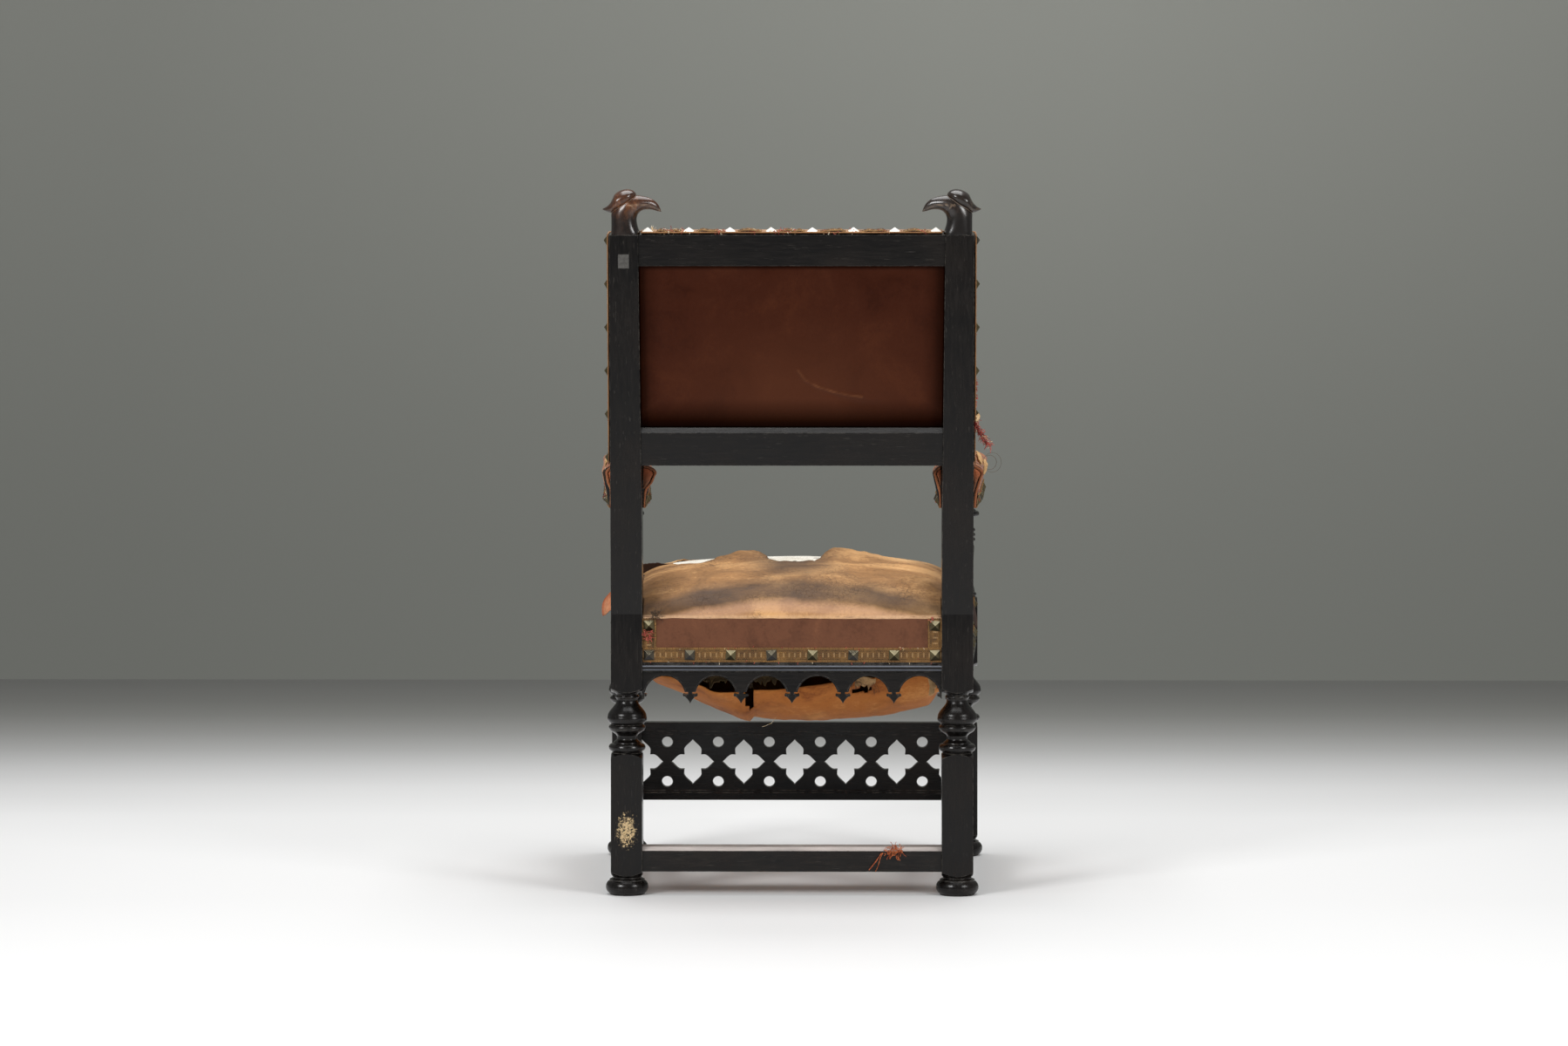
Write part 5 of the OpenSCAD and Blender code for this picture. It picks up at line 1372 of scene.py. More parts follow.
# %% Straps that sag
strap_parts = []
for run, _, low, high in find_straps():
    cross = 1 - run
    seed_at = len(strap_parts) * 37.0

    def strap_place(s, w, low=low, high=high, run=run, seed_at=seed_at):
        x, y = (w, s) if run else (s, w)
        t = (s - low[run]) / (high[run] - low[run])
        sag = 3.2 * math.sin(math.pi * t) + 0.5 * rough(x + seed_at, y, 0, 30)
        return (x, y, low.z + 0.4 - sag)
    lines = evenly(low[run], high[run], 60)
    grid = [[(s, w) for w in evenly(low[cross], high[cross], 6)] for s in (lines[::-1] if run else lines)]
    strap_parts.append(sheet_piece("strap", grid, strap_place, web_cloth, 1.4))
straps = join(strap_parts, "seat_web_straps")
done(straps, "webbing", "seat_webbing")

# %% Hessian
HESSIAN_Z = span("seat_hessian")[0].z


def hessian_place(x, y):
    sag = 3.0 * math.cos(math.pi / 2 * x / 300) * math.cos(math.pi / 2 * (y - SEAT_MID_Y) / 290)
    return (x, y, HESSIAN_Z + 0.2 - sag + 0.35 * rough(x, y, 0, 25))


hessian_plan = seat_plan(-20, 60)
hessian = sheet_piece("seat_hessian_sheet", hessian_plan, hessian_place, hessian_cloth, 0.8, leg_notches())
done(hessian, "webbing", "seat_hessian")

# %% [markdown]
# ## Covered arms
# Each arm rail is padded on top and covered with leather, drawn down over both sides and nailed under
# gallon. Where it meets the back post the cover has come open: its edge is rolled back like a lip,
# with a dark gap and an orange lining inside. The two arms are torn differently.

# %% Section of an arm
ARM_Z, ARM_PAD_TOP, ARM_WIDEST, ARM_SKIN = 642, 714, 700, 2.4
ARM_TIP = FRONT_Y - 66 + 3.5 - 2.0
ARM_FLANK = ((642, 29), (700, 41))
REAR_FLANK = {
    "left": {"inner": ((642, 27), (666, 29.5), (674, 32), (684, 40), (694, 44), (704, 48), (716, 47)),
             "outer": ((642, 26.5), (666, 26), (674, 27), (684, 31.5), (694, 33), (704, 34.5), (716, 36))},
    "right": {"inner": ((642, 26.5), (666, 28), (674, 30), (690, 34.5), (704, 37.5), (716, 36)),
              "outer": ((642, 28.5), (666, 31), (674, 33), (690, 38), (704, 43), (716, 45))},
}


def post_face(z):
    """Y of the front face of a back post at a height."""
    low, high = leaning(0, 0, 0), leaning(0, 0, 400)
    return low.y + (high.y - low.y) * (z - low.z) / (high.z - low.z)


def arm_width(arm, part, y, z):
    """Half width of an arm's cover. It opens out over the last 80 mm before the post."""
    plain = ARM_FLANK[0][1] + (min(z, ARM_WIDEST) - ARM_Z) * 12 / 58
    near = smooth((y - (post_face(z) - 85)) / 75)
    return plain + (follow(REAR_FLANK[arm][part], z) - plain) * near


def arm_point(arm, y, t, grow):
    """A point of the section: t runs from 0, low outside, over the top to 1, low inside."""
    part, k, turn = ("outer", t, 1) if t < 0.5 else ("inner", 1 - t, -1)
    if k < 0.3:
        z = ARM_Z + (ARM_WIDEST - ARM_Z) * k / 0.3
        out = arm_width(arm, part, y, z) + grow
    else:
        angle = math.pi / 2 * (k - 0.3) / 0.2
        z = ARM_WIDEST + (ARM_PAD_TOP - ARM_WIDEST + grow) * math.sin(angle)
        out = (arm_width(arm, part, y, ARM_WIDEST) + grow) * math.cos(angle) ** 0.9
    return Vector((SIDE[arm] * (side_x(y, 0) + turn * out), y, z))


def arm_middle(arm, y, z):
    return Vector((SIDE[arm] * side_x(y, 0), y, z))


def beside_post(arm, p):
    """1 where a point of the section lies beside the post, and 0 where it lies in front of it."""
    return smooth((abs(p.x - arm_middle(arm, p.y, 0).x) - HALF_LEG - 0.4) / 1.6)


def rear_end(arm, t, grow):
    """Where the cover ends: beside the post it reaches a little past the post's front face."""
    p = arm_point(arm, post_face(690), t, grow)
    past = beside_post(arm, p)
    p = arm_point(arm, post_face(p.z), t, grow)
    p.y = post_face(p.z) - 3.6 + 7.0 * past + 1.0 * past * rough(t * 90, 7, 0, 9)
    return p, past


# %% Cover of an arm


def sheet_from_lines(name, lines, flip, material):
    """A sheet from lines of points. A flip turns its faces the other way."""
    wide = len(lines[0])
    faces = [(i * wide + j, i * wide + j + 1, (i + 1) * wide + j + 1, (i + 1) * wide + j)
             for i in range(len(lines) - 1) for j in range(wide - 1)]
    if flip:
        faces = [face[::-1] for face in faces]
    return mesh_piece(name, [p for line in lines for p in line], faces, material)


def arm_cover(arm):
    """Leather over an arm, from the rolled lip at the post to the nose."""
    shift = 0 if arm == "left" else 300
    ts = [k / 84 for k in range(85)]
    lines = []
    for k in range(7):
        angle = math.pi * (1 - max(0, k - 1) / 5)
        line = []
        for t in ts:
            p, past = rear_end(arm, t, ARM_SKIN)
            inward = (arm_middle(arm, p.y, min(p.z, 688)) - p).normalized()
            room = max(0, abs(p.x - arm_middle(arm, p.y, 0).x) - HALF_LEG - 2) / 2
            bend = min(0.6 + 2.0 * past, 0.6 + room) * (1 + 0.2 * rough(t * 70, shift, 3, 8))
            q = p + inward * bend * (1 - math.cos(angle)) + Vector((0, bend * (math.sin(angle) - 1), 0))
            line.append(q - Vector((0, 4.0, 0)) if k == 0 else q)
        lines.append(line)
    count = 96
    for k in range(1, count + 1):
        line = []
        for t in ts:
            start = rear_end(arm, t, ARM_SKIN)[0].y - 3
            y = start + (ARM_TIP + 12 - start) * k / count
            p = arm_point(arm, y, t, ARM_SKIN)
            high = smooth((p.z - 668) / 20)
            crease = 0.9 * rough(y * 0.5 + shift, t * 160, 0, 22) + 0.5 * rough(y + shift, t * 90, 6, 9)
            near = math.exp(-((start - y) / 40) ** 2)
            p.z += (crease + 1.4 * near * rough(y, t * 120 + shift, 9, 16)) * high
            p.x += 0.6 * crease * high * SIDE[arm] * (1 if t < 0.5 else -1)
            line.append(p)
        lines.append(line)
    for shrink, back in ((0.97, 6), (0.90, 2), (0.80, 0.4), (0.62, 0), (0.42, 0), (0.22, 0), (0.06, 0)):
        line = []
        for t in ts:
            p = arm_point(arm, ARM_TIP + 12, t, ARM_SKIN)
            middle = arm_middle(arm, ARM_TIP, ARM_Z + 6)
            pleat = 0.5 * math.sin(t * 58) * (1 - shrink) * smooth(shrink / 0.4)
            line.append(Vector((middle.x + (p.x - middle.x) * shrink, ARM_TIP + back - pleat,
                                middle.z + (p.z - middle.z) * shrink)))
        lines.append(line)
    piece = sheet_from_lines("arm_cover_" + arm, lines, arm == "right", arm_leather_finish)
    held = []
    for vertex in piece.data.vertices:
        p = vertex.co / MM
        behind, ahead = (post_face(700) - 30 - p.y) / 60, (p.y - ARM_TIP - 4) / 40
        free = smooth((p.z - 676) / 24) * smooth(behind) * smooth(ahead)
        held.append(1 - SLACK * free)
    puff(piece, held, 3.0, 7)
    add_wall(piece, 2.0, -1.0)
    return done(piece, "tan_leather", "arm_leather_" + arm)


# %% Lining of an arm


def arm_lining(arm):
    """Orange lining, pulled over the rear end of the arm on both sides of the post."""
    shift = 0 if arm == "left" else 200
    parts = []
    for low_t, high_t in ((0.02, 0.47), (0.98, 0.53)):
        lines = []
        for k in range(91):
            t = low_t + (high_t - low_t) * k / 90
            outer, past = rear_end(arm, t, ARM_SKIN)
            inward = (arm_middle(arm, outer.y, min(outer.z, 688)) - outer).normalized()
            outer = outer + inward * 6.4
            middle = arm_middle(arm, outer.y, 0).x
            reach = abs(outer.x - middle) - HALF_LEG - 0.6
            if reach < 0.8:
                continue
            line = [Vector((outer.x, post_face(outer.z) - 2.5, outer.z))]
            for q in range(9):
                v = q / 8
                x = outer.x - math.copysign(reach * v, outer.x - middle)
                bulge = min(1.9, reach * 0.5) * math.sin(math.pi * min(1, v + 0.12))
                bulge += 0.5 * rough(k * 1.2, q * 2.0 + shift, 0, 7)
                line.append(Vector((x, post_face(outer.z) + 1.0 + bulge, outer.z)))
            lines.append(line)
        flip = (arm == "left") != (low_t < 0.5)
        part = sheet_from_lines("lining", lines, flip, lining_leather)
        add_wall(part, 0.8, 0.0)
        parts.append(part)
    piece = join(parts, "arm_lining_" + arm)
    return done(piece, "under_leather")


lining_leather, place, base = leather(
    "lining_leather", ("6e3420", "a8603e", "cf9670"), 1.0, 0.7, "2a120a", 0.5, 0.3, 30)
# The lining is darker below about 700 mm.
darker_low = fit(axis_of(place, "Z"), 0.702, 0.684) * (axis_of(place, "Z") > 0.6)
base = blend(darker_low * 0.8, base, "59402f")
finish_shader(lining_leather, Base_Color=base)
pale_leather = leather("pale_leather", ("7a5a3a", "c09a6c", "dcc29a"), 1.0, 0.7, "3a2414", 0.5, 0.5, 30)[0]
for arm in SIDE:
    arm_cover(arm)
    arm_lining(arm)

# %% Gallon and nails of the arms
ARM_NAIL_PITCH, NOSE_ROW_Z = 71, 654
for arm, side in SIDE.items():
    spots, nail_spots = [], []
    for t, high_t, turn in ((0.06, 0.15, side), (0.94, 0.85, -side)):
        path = []
        for k in range(161):
            y = post_face(654) - 1.5 + (ARM_TIP + 14 - post_face(654)) * k / 160
            path.append([arm_point(arm, y, at, ARM_SKIN + 0.2) for at in (t, high_t)])
        travelled, next_row, next_nail = 0.0, 1.5, 28.0
        for (a, higher), (b, _) in zip(path, path[1:]):
            travelled += (b - a).length
            along = (b - a).normalized()
            outward = along.cross((higher - a).normalized()).normalized()
            if outward.x * turn < 0:
                outward = -outward
            if travelled >= next_row:
                spots.append((a + outward * jitter.uniform(0, 0.4), along, outward))
                next_row += ROW
            if travelled >= next_nail:
                nail_spots.append((a + outward * 1.2, along, outward))
                next_nail += ARM_NAIL_PITCH
    middle = side * side_x(ARM_TIP, 0)
    start, end = ((middle + x, ARM_TIP - 0.2, NOSE_ROW_Z) for x in (-30, 30))
    spots += straight(start, end, (0, -1, 0))
    for x in (-17, 17):
        nail_spots.append((Vector((middle + x, ARM_TIP - 1.4, NOSE_ROW_Z)), (1, 0, 0), (0, -1, 0)))
    braid_piece = repeat("arm_gallon_braid_" + arm, spots, gallon_row, braid, seed=5, twist=0.05)
    done(braid_piece, "gallon", "arm_gallon_" + arm)
    nail_piece = repeat("arm_nail_heads_" + arm, nail_spots, nail_shape, nail_metal, seed=12, twist=0.08,
                        smallest=0.93, largest=1.0)
    done(nail_piece, "nails", "arm_nails_" + arm)

# %% [markdown]
# ## Leather on the front of the back
# The sitter leans on a broad padded panel. One hide covers it, turns round the outer sides of the
# posts and over the top rail, and is nailed there under gallon. Between nails the edge is a little
# slack, so it puckers. This side cannot be seen in the photo, so it follows the other leather.

# %% Front of the back
BACK_HALF, BACK_REACH = POST_SIDE, 44
WRAP_STEPS = (3, 11, 22, 33, BACK_REACH)


def back_depth(x, up):
    """How far the leather stands out in front of the posts."""
    a = min(1, abs(x) / BACK_HALF)
    b = min(1, abs(up - (LOW_POS + BACK_LEN) / 2) / ((BACK_LEN - LOW_POS) / 2))
    lift = smooth((up - LOW_POS - 26) / 28)
    full = ((1 - a ** 3) * (1 - b ** 3)) ** 0.7
    pucker = 1.1 * math.cos(2 * math.pi * x / 71) * math.exp(-(BACK_LEN - up) / 26)
    pucker += 1.0 * math.cos(2 * math.pi * (up - LOW_POS) / 73) * math.exp(-(BACK_HALF - abs(x)) / 26)
    worn = 0.8 * rough(x, up, 0, 60) + 0.35 * rough(x, up, 5, 18)
    return LOW_FRONT + lift * (7 + 32 * full + pucker + worn * full)


def back_place(s, t):
    """Where a point of the flat hide lies, also where it turns round a post or over the top rail."""
    x, up = max(-BACK_HALF, min(BACK_HALF, s)), min(BACK_LEN, t)
    over, above = max(abs(s) - BACK_HALF, 0), max(t - BACK_LEN, 0)
    depth = back_depth(x, up)
    wrapped = -depth + (depth + WRAP_Y) * max(over, above) / BACK_REACH
    if over > 0:
        return leaning(math.copysign(BACK_HALF + WRAP_T * min(1, over / 3), s), wrapped, up)
    return leaning(x, wrapped, BACK_LEN + WRAP_T * min(1, above / 3) if above > 0 else up)


across = ([-BACK_HALF - k for k in WRAP_STEPS[::-1]] + evenly(-BACK_HALF, -TOP_HALF, 10)[:-1]
          + evenly(-TOP_HALF, TOP_HALF, 120) + evenly(TOP_HALF, BACK_HALF, 10)[1:]
          + [BACK_HALF + k for k in WRAP_STEPS])
ups = evenly(LOW_POS, BACK_LEN, 100) + [BACK_LEN + k for k in WRAP_STEPS]
CUT_X, CUT_LOW, CUT_HIGH = 400, BACK_LEN + 0.5, BACK_LEN + 60
corners = [[(s * TOP_HALF, CUT_LOW), (s * CUT_X, CUT_LOW), (s * CUT_X, CUT_HIGH), (s * TOP_HALF, CUT_HIGH)]
           for s in (-1, 1)]
torn_side = [(-BACK_HALF - out, up) for out, up in ((14, 262), (60, 262), (60, 330), (30, 318), (22, 296),
                                                    (30, 280))]
flat = [[(s, t) for t in ups] for s in across]
back_front = sheet_piece("back_front_leather", flat, back_place, back_leather_finish, 1.9,
                         corners + [ragged(torn_side, 6, 1.5, 8)])
back_front.modifiers.clear()
join_close(back_front)
held = []
for vertex in back_front.data.vertices:
    x, up = abs(vertex.co.x / MM), (vertex.co.z / MM - RAKE_Z) / math.cos(RAKE)
    nearest = min(BACK_HALF - x, BACK_LEN - up, up - LOW_POS - 24)
    held.append(1 - SLACK * smooth((nearest - 4) / 70))
puff(back_front, held, 6.0, 8)
add_wall(back_front, 1.9)
done(back_front, "tan_leather", "back_leather")

# %% [markdown]
# ## Bird heads
# The two heads are carved from the ends of the posts. In side view each is a neck that swells into a
# head and a hooked beak, with a cap of feathers laid over it like half a shell. Both are lofts: at
# each step a back point and a throat point are joined by an oval. Grooves are cut for the mouth.

# %% Loft tables
# Each row holds back across, back up, throat across, throat up and half the thickness.
HEAD = [(2.9, -1, 50.3, -1, 20.5), (2.9, 4.9, 49.5, 3.9, 20.5), (3, 13.7, 46.3, 13.7, 20),
        (3, 25.3, 44.8, 24.4, 19.5), (3.5, 36.1, 46.5, 31.7, 19), (10, 48.8, 49, 35.1, 18.5),
        (24, 60.4, 52, 37.8, 17.5), (38, 63.9, 55.5, 39.4, 15), (48, 63.7, 59, 40.3, 13),
        (56, 62.4, 63, 40.6, 11), (64, 60.4, 67, 40.5, 9), (71.1, 57.3, 71.5, 39.9, 7),
        (77.4, 52.3, 76, 38.6, 5), (81.5, 46.8, 80, 37.5, 3), (85.5, 37.6, 84.8, 36.7, 0.7)]
CREST = [(-11.5, 41.5, -11.2, 40.4, 1.5), (-4.7, 45.2, -7.2, 38.2, 7), (0.9, 50.7, 2.4, 35.1, 13),
         (4.9, 57.7, 9, 38, 18), (9.6, 66.3, 15.5, 41.1, 21.5), (20, 72.3, 25.6, 45.9, 22),
         (30.3, 74, 32, 50.7, 20), (38.4, 72, 39.9, 57.7, 14), (43.5, 67.7, 44.4, 63, 6)]
MOUTH = [(30, 47.8), (44, 49.7), (56, 49.2), (66, 47.3), (75, 43.9), (82, 39.5)]
BAND = [(38, 45), (46, 42), (44, 34), (41, 26), (41, 14)]
HEAD_Y = 21
print("rows in the head and the crest:", len(HEAD), len(CREST))


def curve_through(rows, count):
    """More rows between the given ones, on a Catmull-Rom curve."""
    fine = []
    for k in range(count + 1):
        at = (len(rows) - 1) * k / count
        i = min(int(at), len(rows) - 2)
        t = at - i
        r = [rows[max(0, min(len(rows) - 1, i + d))] for d in (-1, 0, 1, 2)]
        fine.append([0.5 * (2 * b + (c - a) * t + (2 * a - 5 * b + 4 * c - d) * t * t
                            + (3 * b - a - 3 * c + d) * t ** 3) for a, b, c, d in zip(*r)])
    return fine


def oval_loft(points, faces, rows, around, side, square, cuts):
    """Add a closed loft to points and faces."""
    base = len(points)
    for n, (bx, bz, tx, tz, half) in enumerate(rows):
        power = 1 - square * (1 - smooth(n / len(rows) / 0.3))
        for k in range(around):
            angle = 2 * math.pi * k / around
            c, s = math.cos(angle), math.sin(angle)
            c, s = math.copysign(abs(c) ** power, c), math.copysign(abs(s) ** power, s)
            across, up = (bx + tx) / 2 + (bx - tx) / 2 * c, (bz + tz) / 2 + (bz - tz) / 2 * c
            here = Vector((across, up))
            cut = sum(deep * math.exp(-(nearest_on_line(here, line)[1] / wide) ** 2)
                      for line, deep, wide in cuts)
            cut = min(cut, half * 0.5)
            points.append(leaning(side * (POST_SIDE - across), HEAD_Y + (half - cut) * s, BACK_LEN + up))
    last = len(rows) - 1
    flip = 1 if side > 0 else -1
    for n in range(last):
        for k in range(around):
            a, b = base + n * around + k, base + n * around + (k + 1) % around
            faces.append((a, b, b + around, a + around)[::flip])
    faces.append(tuple(base + k for k in range(around))[::-flip])
    faces.append(tuple(base + last * around + k for k in range(around))[::flip])


# %% Heads and their finish
POST_TOP = leaning(0, HEAD_Y, BACK_LEN).z * MM


def carved_wood(name, dark, middle, light):
    """Wood that hands have rubbed, black at the neck."""
    material, place = start_material(name)
    streak = cloud(stretch(place, (1, 1, 0.25)), 190, 8, 0.62, 0.5)
    patch = cloud(place, 34, 4, 0.6, 0.6)
    mixed = streak * 0.45 + patch * 0.55
    base = ramp(mixed, [(0.34, dark), (0.5, middle), (0.66, light)])
    low = fit(axis_of(place, "Z") + patch * 0.02, POST_TOP + 0.058, POST_TOP + 0.034)
    base = blend(low * 0.92, base, "0c0806")
    # Carved edges are lightened, partly as rubbing and partly as a painted highlight.
    soft, worn = corner_wear_and_highlight(place, 1.2)
    base = blend(worn * 0.4, base, "b59a80")
    finish_shader(material, Base_Color=base, Roughness=fit(patch, 0.3, 0.7, 0.16, 0.28),
                  Normal=bump(streak, 0.12, 0.3, soft))
    return material


RIM = [(-11, 40), (2.4, 35.7), (9, 38.6), (15.5, 41.7), (25.6, 46.5), (32, 51.3), (39.9, 58.3),
       (44.4, 63.4)]
HEAD_CUTS = ((MOUTH, 1.0, 1.1), (BAND, 0.8, 1.4))
CREST_CUTS = (([(x - 1.4, z + 4.2) for x, z in RIM], 0.7, 1.1),)
for word, colours in (("left", ("130904", "3c2010", "6b4226")), ("right", ("0e0907", "1d1510", "322720"))):
    points, faces = [], []
    oval_loft(points, faces, curve_through(HEAD, 64), 48, SIDE[word], 0.25, HEAD_CUTS)
    oval_loft(points, faces, curve_through(CREST, 44), 40, SIDE[word], 0.0, CREST_CUTS)
    head = mesh_piece("bird_head_" + word, points, faces, carved_wood("rubbed_wood_" + word, *colours))
    done(head, "rubbed_wood", "finial_" + word)

# %% [markdown]
# ## Torn flaps
# Dry leather curls when it has lost its nails. A flap is a tongue that leaves a root line in one
# direction and turns steadily about an axis, so it rolls up. Its free edge is uneven.

# %% Flaps


def torn_flap(root, heading, axis, turn, length, material, seed, thickness=1.7, uneven=0.3, fade=0,
              name="flap"):
    """A tongue of leather on a root line of points, heading one way and curling about an axis."""
    columns, cells = 22, 12
    spin = Matrix.Rotation(math.radians(turn) / cells, 3, Vector(axis))
    lines = []
    for i in range(columns + 1):
        t = i / columns
        at = t * (len(root) - 1)
        k = min(int(at), len(root) - 2)
        p = Vector(root[k]).lerp(Vector(root[k + 1]), at - k)
        reach = length * (0.35 + 0.65 * math.sin(math.pi * t) ** 0.5) * (1 - fade * t)
        reach *= 1 + uneven * (rough(i * 4.0, seed * 10, 0, 9) + 0.6 * rough(i * 9.0, seed * 10, 4, 8))
        way = Vector(heading).normalized()
        line = [p.copy()]
        for j in range(cells):
            way = spin @ way
            p = p + way * (reach / cells)
            line.append(p + Vector((0.4, 0.4, 0.6)) * rough(i * 3, j * 5 + seed, seed, 14))
        lines.append(line)
    piece = sheet_from_lines(name, lines, True, material)
    add_wall(piece, thickness, 0.0)
    return piece


# Painted shade: the flesh side of these flaps is coloured near black, as it looks in shadow.
dark_flesh = leather("dark_flesh", ("1c110a", "33221a", "4a3324"), 1.0, 0.75, "0c0705", 0.5, 0.3, 24)[0]
side_flaps = join([
    torn_flap([(291, -140, 487), (290, -20, 487), (286, 90, 484)], (1, 0, 0.3), (0, 1, 0), 118, 62,
              lining_leather, 3),
    torn_flap([(-302, -90, 478), (-298, 20, 481), (-294, 110, 476)], (-0.6, 0, -0.8), (0, -1, 0), 38, 54,
              dark_flesh, 5)], "seat_side_flaps")
done(side_flaps, "under_leather")
rear_flap = torn_flap([(285, 0, 488), (256, 0, 507), (232, 0, 519), (200, -2, 529)], (0.0, 0.1, 1),
                      (1, 0, 0), -30, 42, dark_flesh, 9, uneven=0.1, fade=0.85, name="seat_dark_flap")
done(rear_flap, "under_leather")

# %% Lips at the arms, and rags under the seat
AT = post_face(710)
lips = {
    "left": [torn_flap([(310.5, AT - 34, 712), (311.5, AT - 14, 716), (311, AT + 3, 711)], (0.12, 0.05, 1),
                       (0, 1, 0), -62, 25, pale_leather, 11, uneven=0.15)],
    "right": [torn_flap([(-313, AT - 38, 712), (-316, AT - 18, 718), (-315, AT + 2, 713)], (-0.25, 0.05, 1),
                        (0, 1, 0), 75, 20, pale_leather, 17),
              torn_flap([(-317, AT - 12, 722), (-319, AT - 1, 712), (-318, AT + 2, 698)], (-0.6, 0.5, 0.3),
                        (0, 0, 1), 140, 9, pale_leather, 19),
              torn_flap([leaning(-302.8, 12, 326), leaning(-303.2, 18, 337), leaning(-303, 26, 330)],
                        (-1, 0.1, 0.4), (0, 1, 0), -190, 20, pale_leather, 23)],
}
# Each rag has its root points as (x, distance ahead of the rear legs, height). Then come its heading,
# axis, turn and length, its material, a seed, its thickness and how uneven its edge is.
RAGS = (
    (((164, 45, 369), (134, 43, 368), (104, 45, 369)), (0.1, 0.1, -1), (1, 0, 0), 50, 27,
     hessian_cloth, 31, 0.8, 0.7),
    (((78, 45, 369), (50, 43, 368), (22, 45, 369)), (-0.1, 0.1, -1), (1, 0, 0), 40, 22,
     hessian_cloth, 33, 0.8, 0.7),
    (((-98, 47, 356), (-118, 45, 359), (-140, 47, 354)), (0.1, 0.1, -1), (1, 0, 0), -60, 19,
     pale_leather, 35, 1.2, 0.7),
    (((-227, 45, 356), (-230, 44, 342), (-228, 45, 326)), (-0.6, 0.6, 0), (0, 0, 1), 120, 13,
     pale_leather, 37, 1.4, 0.3),
)
shreds = [torn_flap([(x, REAR_Y - ahead, z) for x, ahead, z in root], *rest) for root, *rest in RAGS]
done(join(shreds, "under_seat_shreds"), "webbing")
for arm in lips:
    done(join(lips[arm], "arm_torn_lip_" + arm), "tan_leather")

# %% [markdown]
# ## Loose threads
# Every torn edge of the gallon ends in frayed silk, red, orange and cream. A thread is a wandering
# line of short steps. A second node tree turns all lines of one colour into thin tubes.

# %% Tree that makes threads
thread_tree, given = start_tree("threads_from_lines", (
    ("Lines", "Geometry", None), ("Radius", "Float", 0.0004), ("Finish", "Material", None)))
curve = put(thread_tree, "GeometryNodeMeshToCurve", {"Mesh": given["Lines"]})
ring = put(thread_tree, "GeometryNodeCurvePrimitiveCircle", {"Resolution": 4, "Radius": given["Radius"]})
tube = put(thread_tree, "GeometryNodeCurveToMesh", {
    "Curve": curve.outputs["Curve"], "Profile Curve": ring.outputs["Curve"], "Fill Caps": True})
end_tree(thread_tree, tube.outputs["Mesh"], given["Finish"])


# %% Silks, and how a thread wanders


def silk(colour, dark, light):
    """Silk in two shades."""
    material, place = start_material(colour + "_silk")
    base = ramp(cloud(place, 160, 3, 0.6), [(0.4, dark), (0.6, light)])
    finish_shader(material, Base_Color=base, Roughness=0.8)
    return material


# Dark colour, light colour, and radius in millimetres.
SILKS = {"red": ("7e2a22", "b8584a", 0.45), "orange": ("8a3c1a", "c8703c", 0.5),
         "cream": ("c8a878", "e6dcc4", 0.36), "dark": ("2e2016", "5a4630", 0.30)}
silks = {colour: silk(colour, *SILKS[colour][:2]) for colour in SILKS}
strands = {colour: [] for colour in silks}
rand = random.Random(21)
vary = rand.uniform


def jolt(size):
    """A small random step."""
    return Vector([vary(-size, size) for axis in range(3)])


def strand(colour, start, way, length, wander=0.5, droop=0.0, steps=9):
    """A thread that sets out one way, wanders, and droops."""
    p, way = Vector(start), Vector(way).normalized()
    line = [p.copy()]
    for k in range(steps):
        way += jolt(wander)
        way.z -= droop
        way.normalize()
        p = p + way * length / steps
        line.append(p.copy())
    strands[colour].append(line)


def tuft(colour, start, way, count, length, spread=2.0, wander=0.5, droop=0.1):
    for k in range(count):
        strand(colour, Vector(start) + jolt(spread), way, length * vary(0.5, 1.1), wander, droop)


def count_threads(where):
    print("threads after", where, sum(len(lines) for lines in strands.values()))


# %% Threads on the sides of the back


def side_point(up, out):
    """A point on the torn right side of the back, at a height in the leaning frame."""
    return leaning(-(POST_SIDE + 2 + out), 18, up)


for k in range(40):
    t = k / 39
    stem = side_point(326 - 45 * t, 1 + 27 * max(0, t - 0.2))
    for n in range(5):
        colour = "red" if rand.random() < 0.85 else "cream"
        strand(colour, stem + jolt(3), (vary(-0.8, 0.4), vary(-0.5, 0.5), vary(-1.2, 0.3)),
               vary(5, 13), 0.5, 0.05)
for k in range(90):
    strand("red", side_point(vary(332, 392), 0), (-1, vary(-1, 1), vary(-1, 1)), vary(3, 8), 0.6)
stem = [side_point(322 - 43 * k / 14, 1 + 26 * max(0, k / 14 - 0.2)) for k in range(15)]
strands["red"] += [[p + Vector((0.7 * i, 0.8 * (i - 1), 0.5 * i)) for p in stem] for i in range(3)]
for k in range(30):
    strand("red" if k % 3 else "cream", side_point(vary(330, 620), 0), (-1, vary(-1, 1), vary(-1, 1)),
           vary(2, 5), 0.6)
for k in range(26):
    strand("cream" if k % 2 else "red", leaning(POST_SIDE + 3, vary(8, 28), vary(260, 630)),
           (1, vary(-1, 1), vary(-1, 1)), vary(1.5, 4), 0.6)
count_threads("the sides")

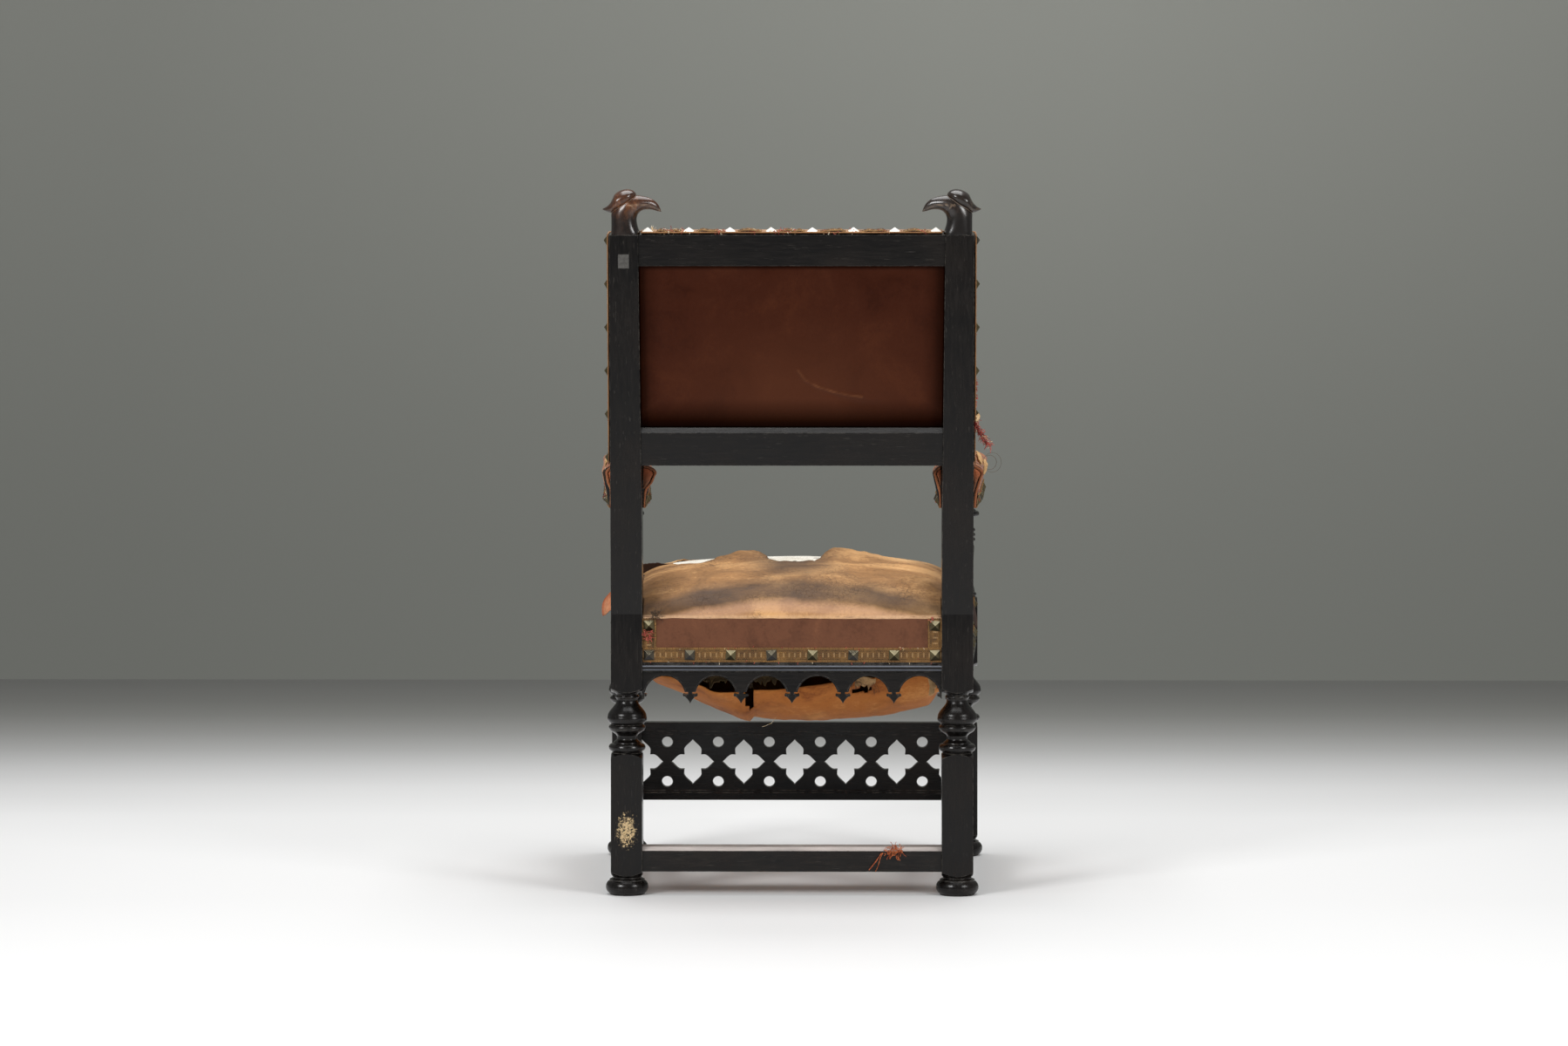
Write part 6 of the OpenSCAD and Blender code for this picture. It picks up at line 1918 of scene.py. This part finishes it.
# %% Threads on the top rail
TOP_REACH = 246
for x, wide in ((203, 14), (180, 5), (118, 9), (66, 6), (20, 16), (2, 8), (-60, 8), (-104, 6), (-150, 9),
                (-214, 8)):
    for k in range(3 * wide):
        strand("red" if rand.random() < 0.6 else "cream",
               leaning(x + vary(-wide, wide), vary(14, 30), BACK_LEN + vary(3, 5)),
               (vary(-1, 1), vary(-0.3, 0.6), vary(0, 0.8)), vary(5, 11), 0.75, 0.22)
tuft("cream", leaning(229, 22, BACK_LEN + 3), (0, 0, 1), 12, 11, 2, 0.35, 0)
for k in range(120):
    x = vary(-TOP_REACH, TOP_REACH)
    strand(rand.choice(("red", "cream", "cream")), leaning(x, vary(8, 30), BACK_LEN + 3),
           (vary(-1, 1), vary(-0.4, 1), vary(0.1, 0.7)), vary(2, 6), 0.7, 0.15)
count_threads("the top rail")

# %% Threads on the arms
loop_start = Vector((-318, post_face(715) - 6, 714))
for n, size in ((0, 15), (1, 11)):
    centre = loop_start + Vector((-size, 0, 4))
    strands["dark"].append([centre + Vector((math.cos(a * 0.36 + n) * size, 2 * math.sin(a * 0.5),
                                            math.sin(a * 0.36 + n) * size * 1.1)) for a in range(17)])
for arm_side, top in ((1, 714), (-1, 722)):
    for k in range(22):
        z = vary(650, top)
        x = arm_side * (REAR_SPAN / 2 + rand.choice((1, 1, -1)) * vary(33, 38))
        strand(rand.choice(("red", "cream", "dark")), (x, post_face(z) - vary(1, 14), z),
               (arm_side * vary(-0.3, 1), 0.5, vary(-1, 1)), vary(3, 9), 0.6, 0.1)
count_threads("the arms")

# %% Threads on the seat, the sheet below it and the stretcher
REAR_OUT = REAR_Y + GALLON_OUT
for k in range(60):
    x = vary(-TOP_REACH, TOP_REACH)
    z = BORDER_Z + rand.choice((0.5, GALLON_W, GALLON_W))
    strand("red" if rand.random() < 0.6 else "cream", (x, REAR_OUT + 0.5, z),
           (vary(-1, 1), 0.5, vary(-1, 0.6)), vary(2, 6), 0.6, 0.15)
tuft("red", (240, REAR_OUT + 1, 432), (0, 0.7, 0.2), 60, 11, 6.5, 0.8, 0.15)
tuft("dark", (227, REAR_OUT, 464), (-0.1, 0.8, 0.8), 60, 15, 6, 0.7, 0.05)
tuft("red", (-232, REAR_OUT + 1, 458), (0.2, 0.6, 0.2), 8, 10, 4, 0.6, 0.2)
tuft("dark", (-234, REAR_OUT, 452), (0.4, 0.6, -0.4), 8, 14, 4, 0.4, 0.2)
tuft("orange", (-176, REAR_Y + HALF_LEG - 8, 74), (0.4, 0.5, 0.3), 46, 17, 8, 0.6, 0.12)
tuft("orange", (-157, REAR_Y + HALF_LEG - 6, 72), (-0.5, 0.5, 0.1), 16, 12, 5, 0.6, 0.12)
for x in (-150, -148, -151):
    strand("orange", (x, REAR_Y + HALF_LEG + 1, 72), (0.45, 0.02, -0.75), 36, 0.1, 0.0, 14)
strand("cream", (66, SHEET_REAR - 70, 330), (0, 0.8, 0.2), 26, 0.5, 0.1)
strand("cream", (28, SHEET_REAR - 60, 284), (-0.3, 0.2, -1), 34, 0.7, 0.1, 14)
for x, z in ((176, 352), (168, 350), (92, 356), (84, 352), (70, 350), (-108, 352), (-96, 350), (-136, 344)):
    tuft("dark", (x, REAR_Y - 44, z), (vary(-1, 1), 0.1, -1), 7, 16, 4, 0.5, 0.1)
count_threads("the seat")

# %% Threads made round
for colour in SILKS:
    points, edges = [], []
    for line in strands[colour]:
        edges += [(len(points) + k, len(points) + k + 1) for k in range(len(line) - 1)]
        points += line
    piece = mesh_piece("threads_" + colour, points, [], edges=edges)
    piece = use_tree(piece, thread_tree, radius=SILKS[colour][2] * MM, finish=silks[colour])
    done(piece, "gallon")
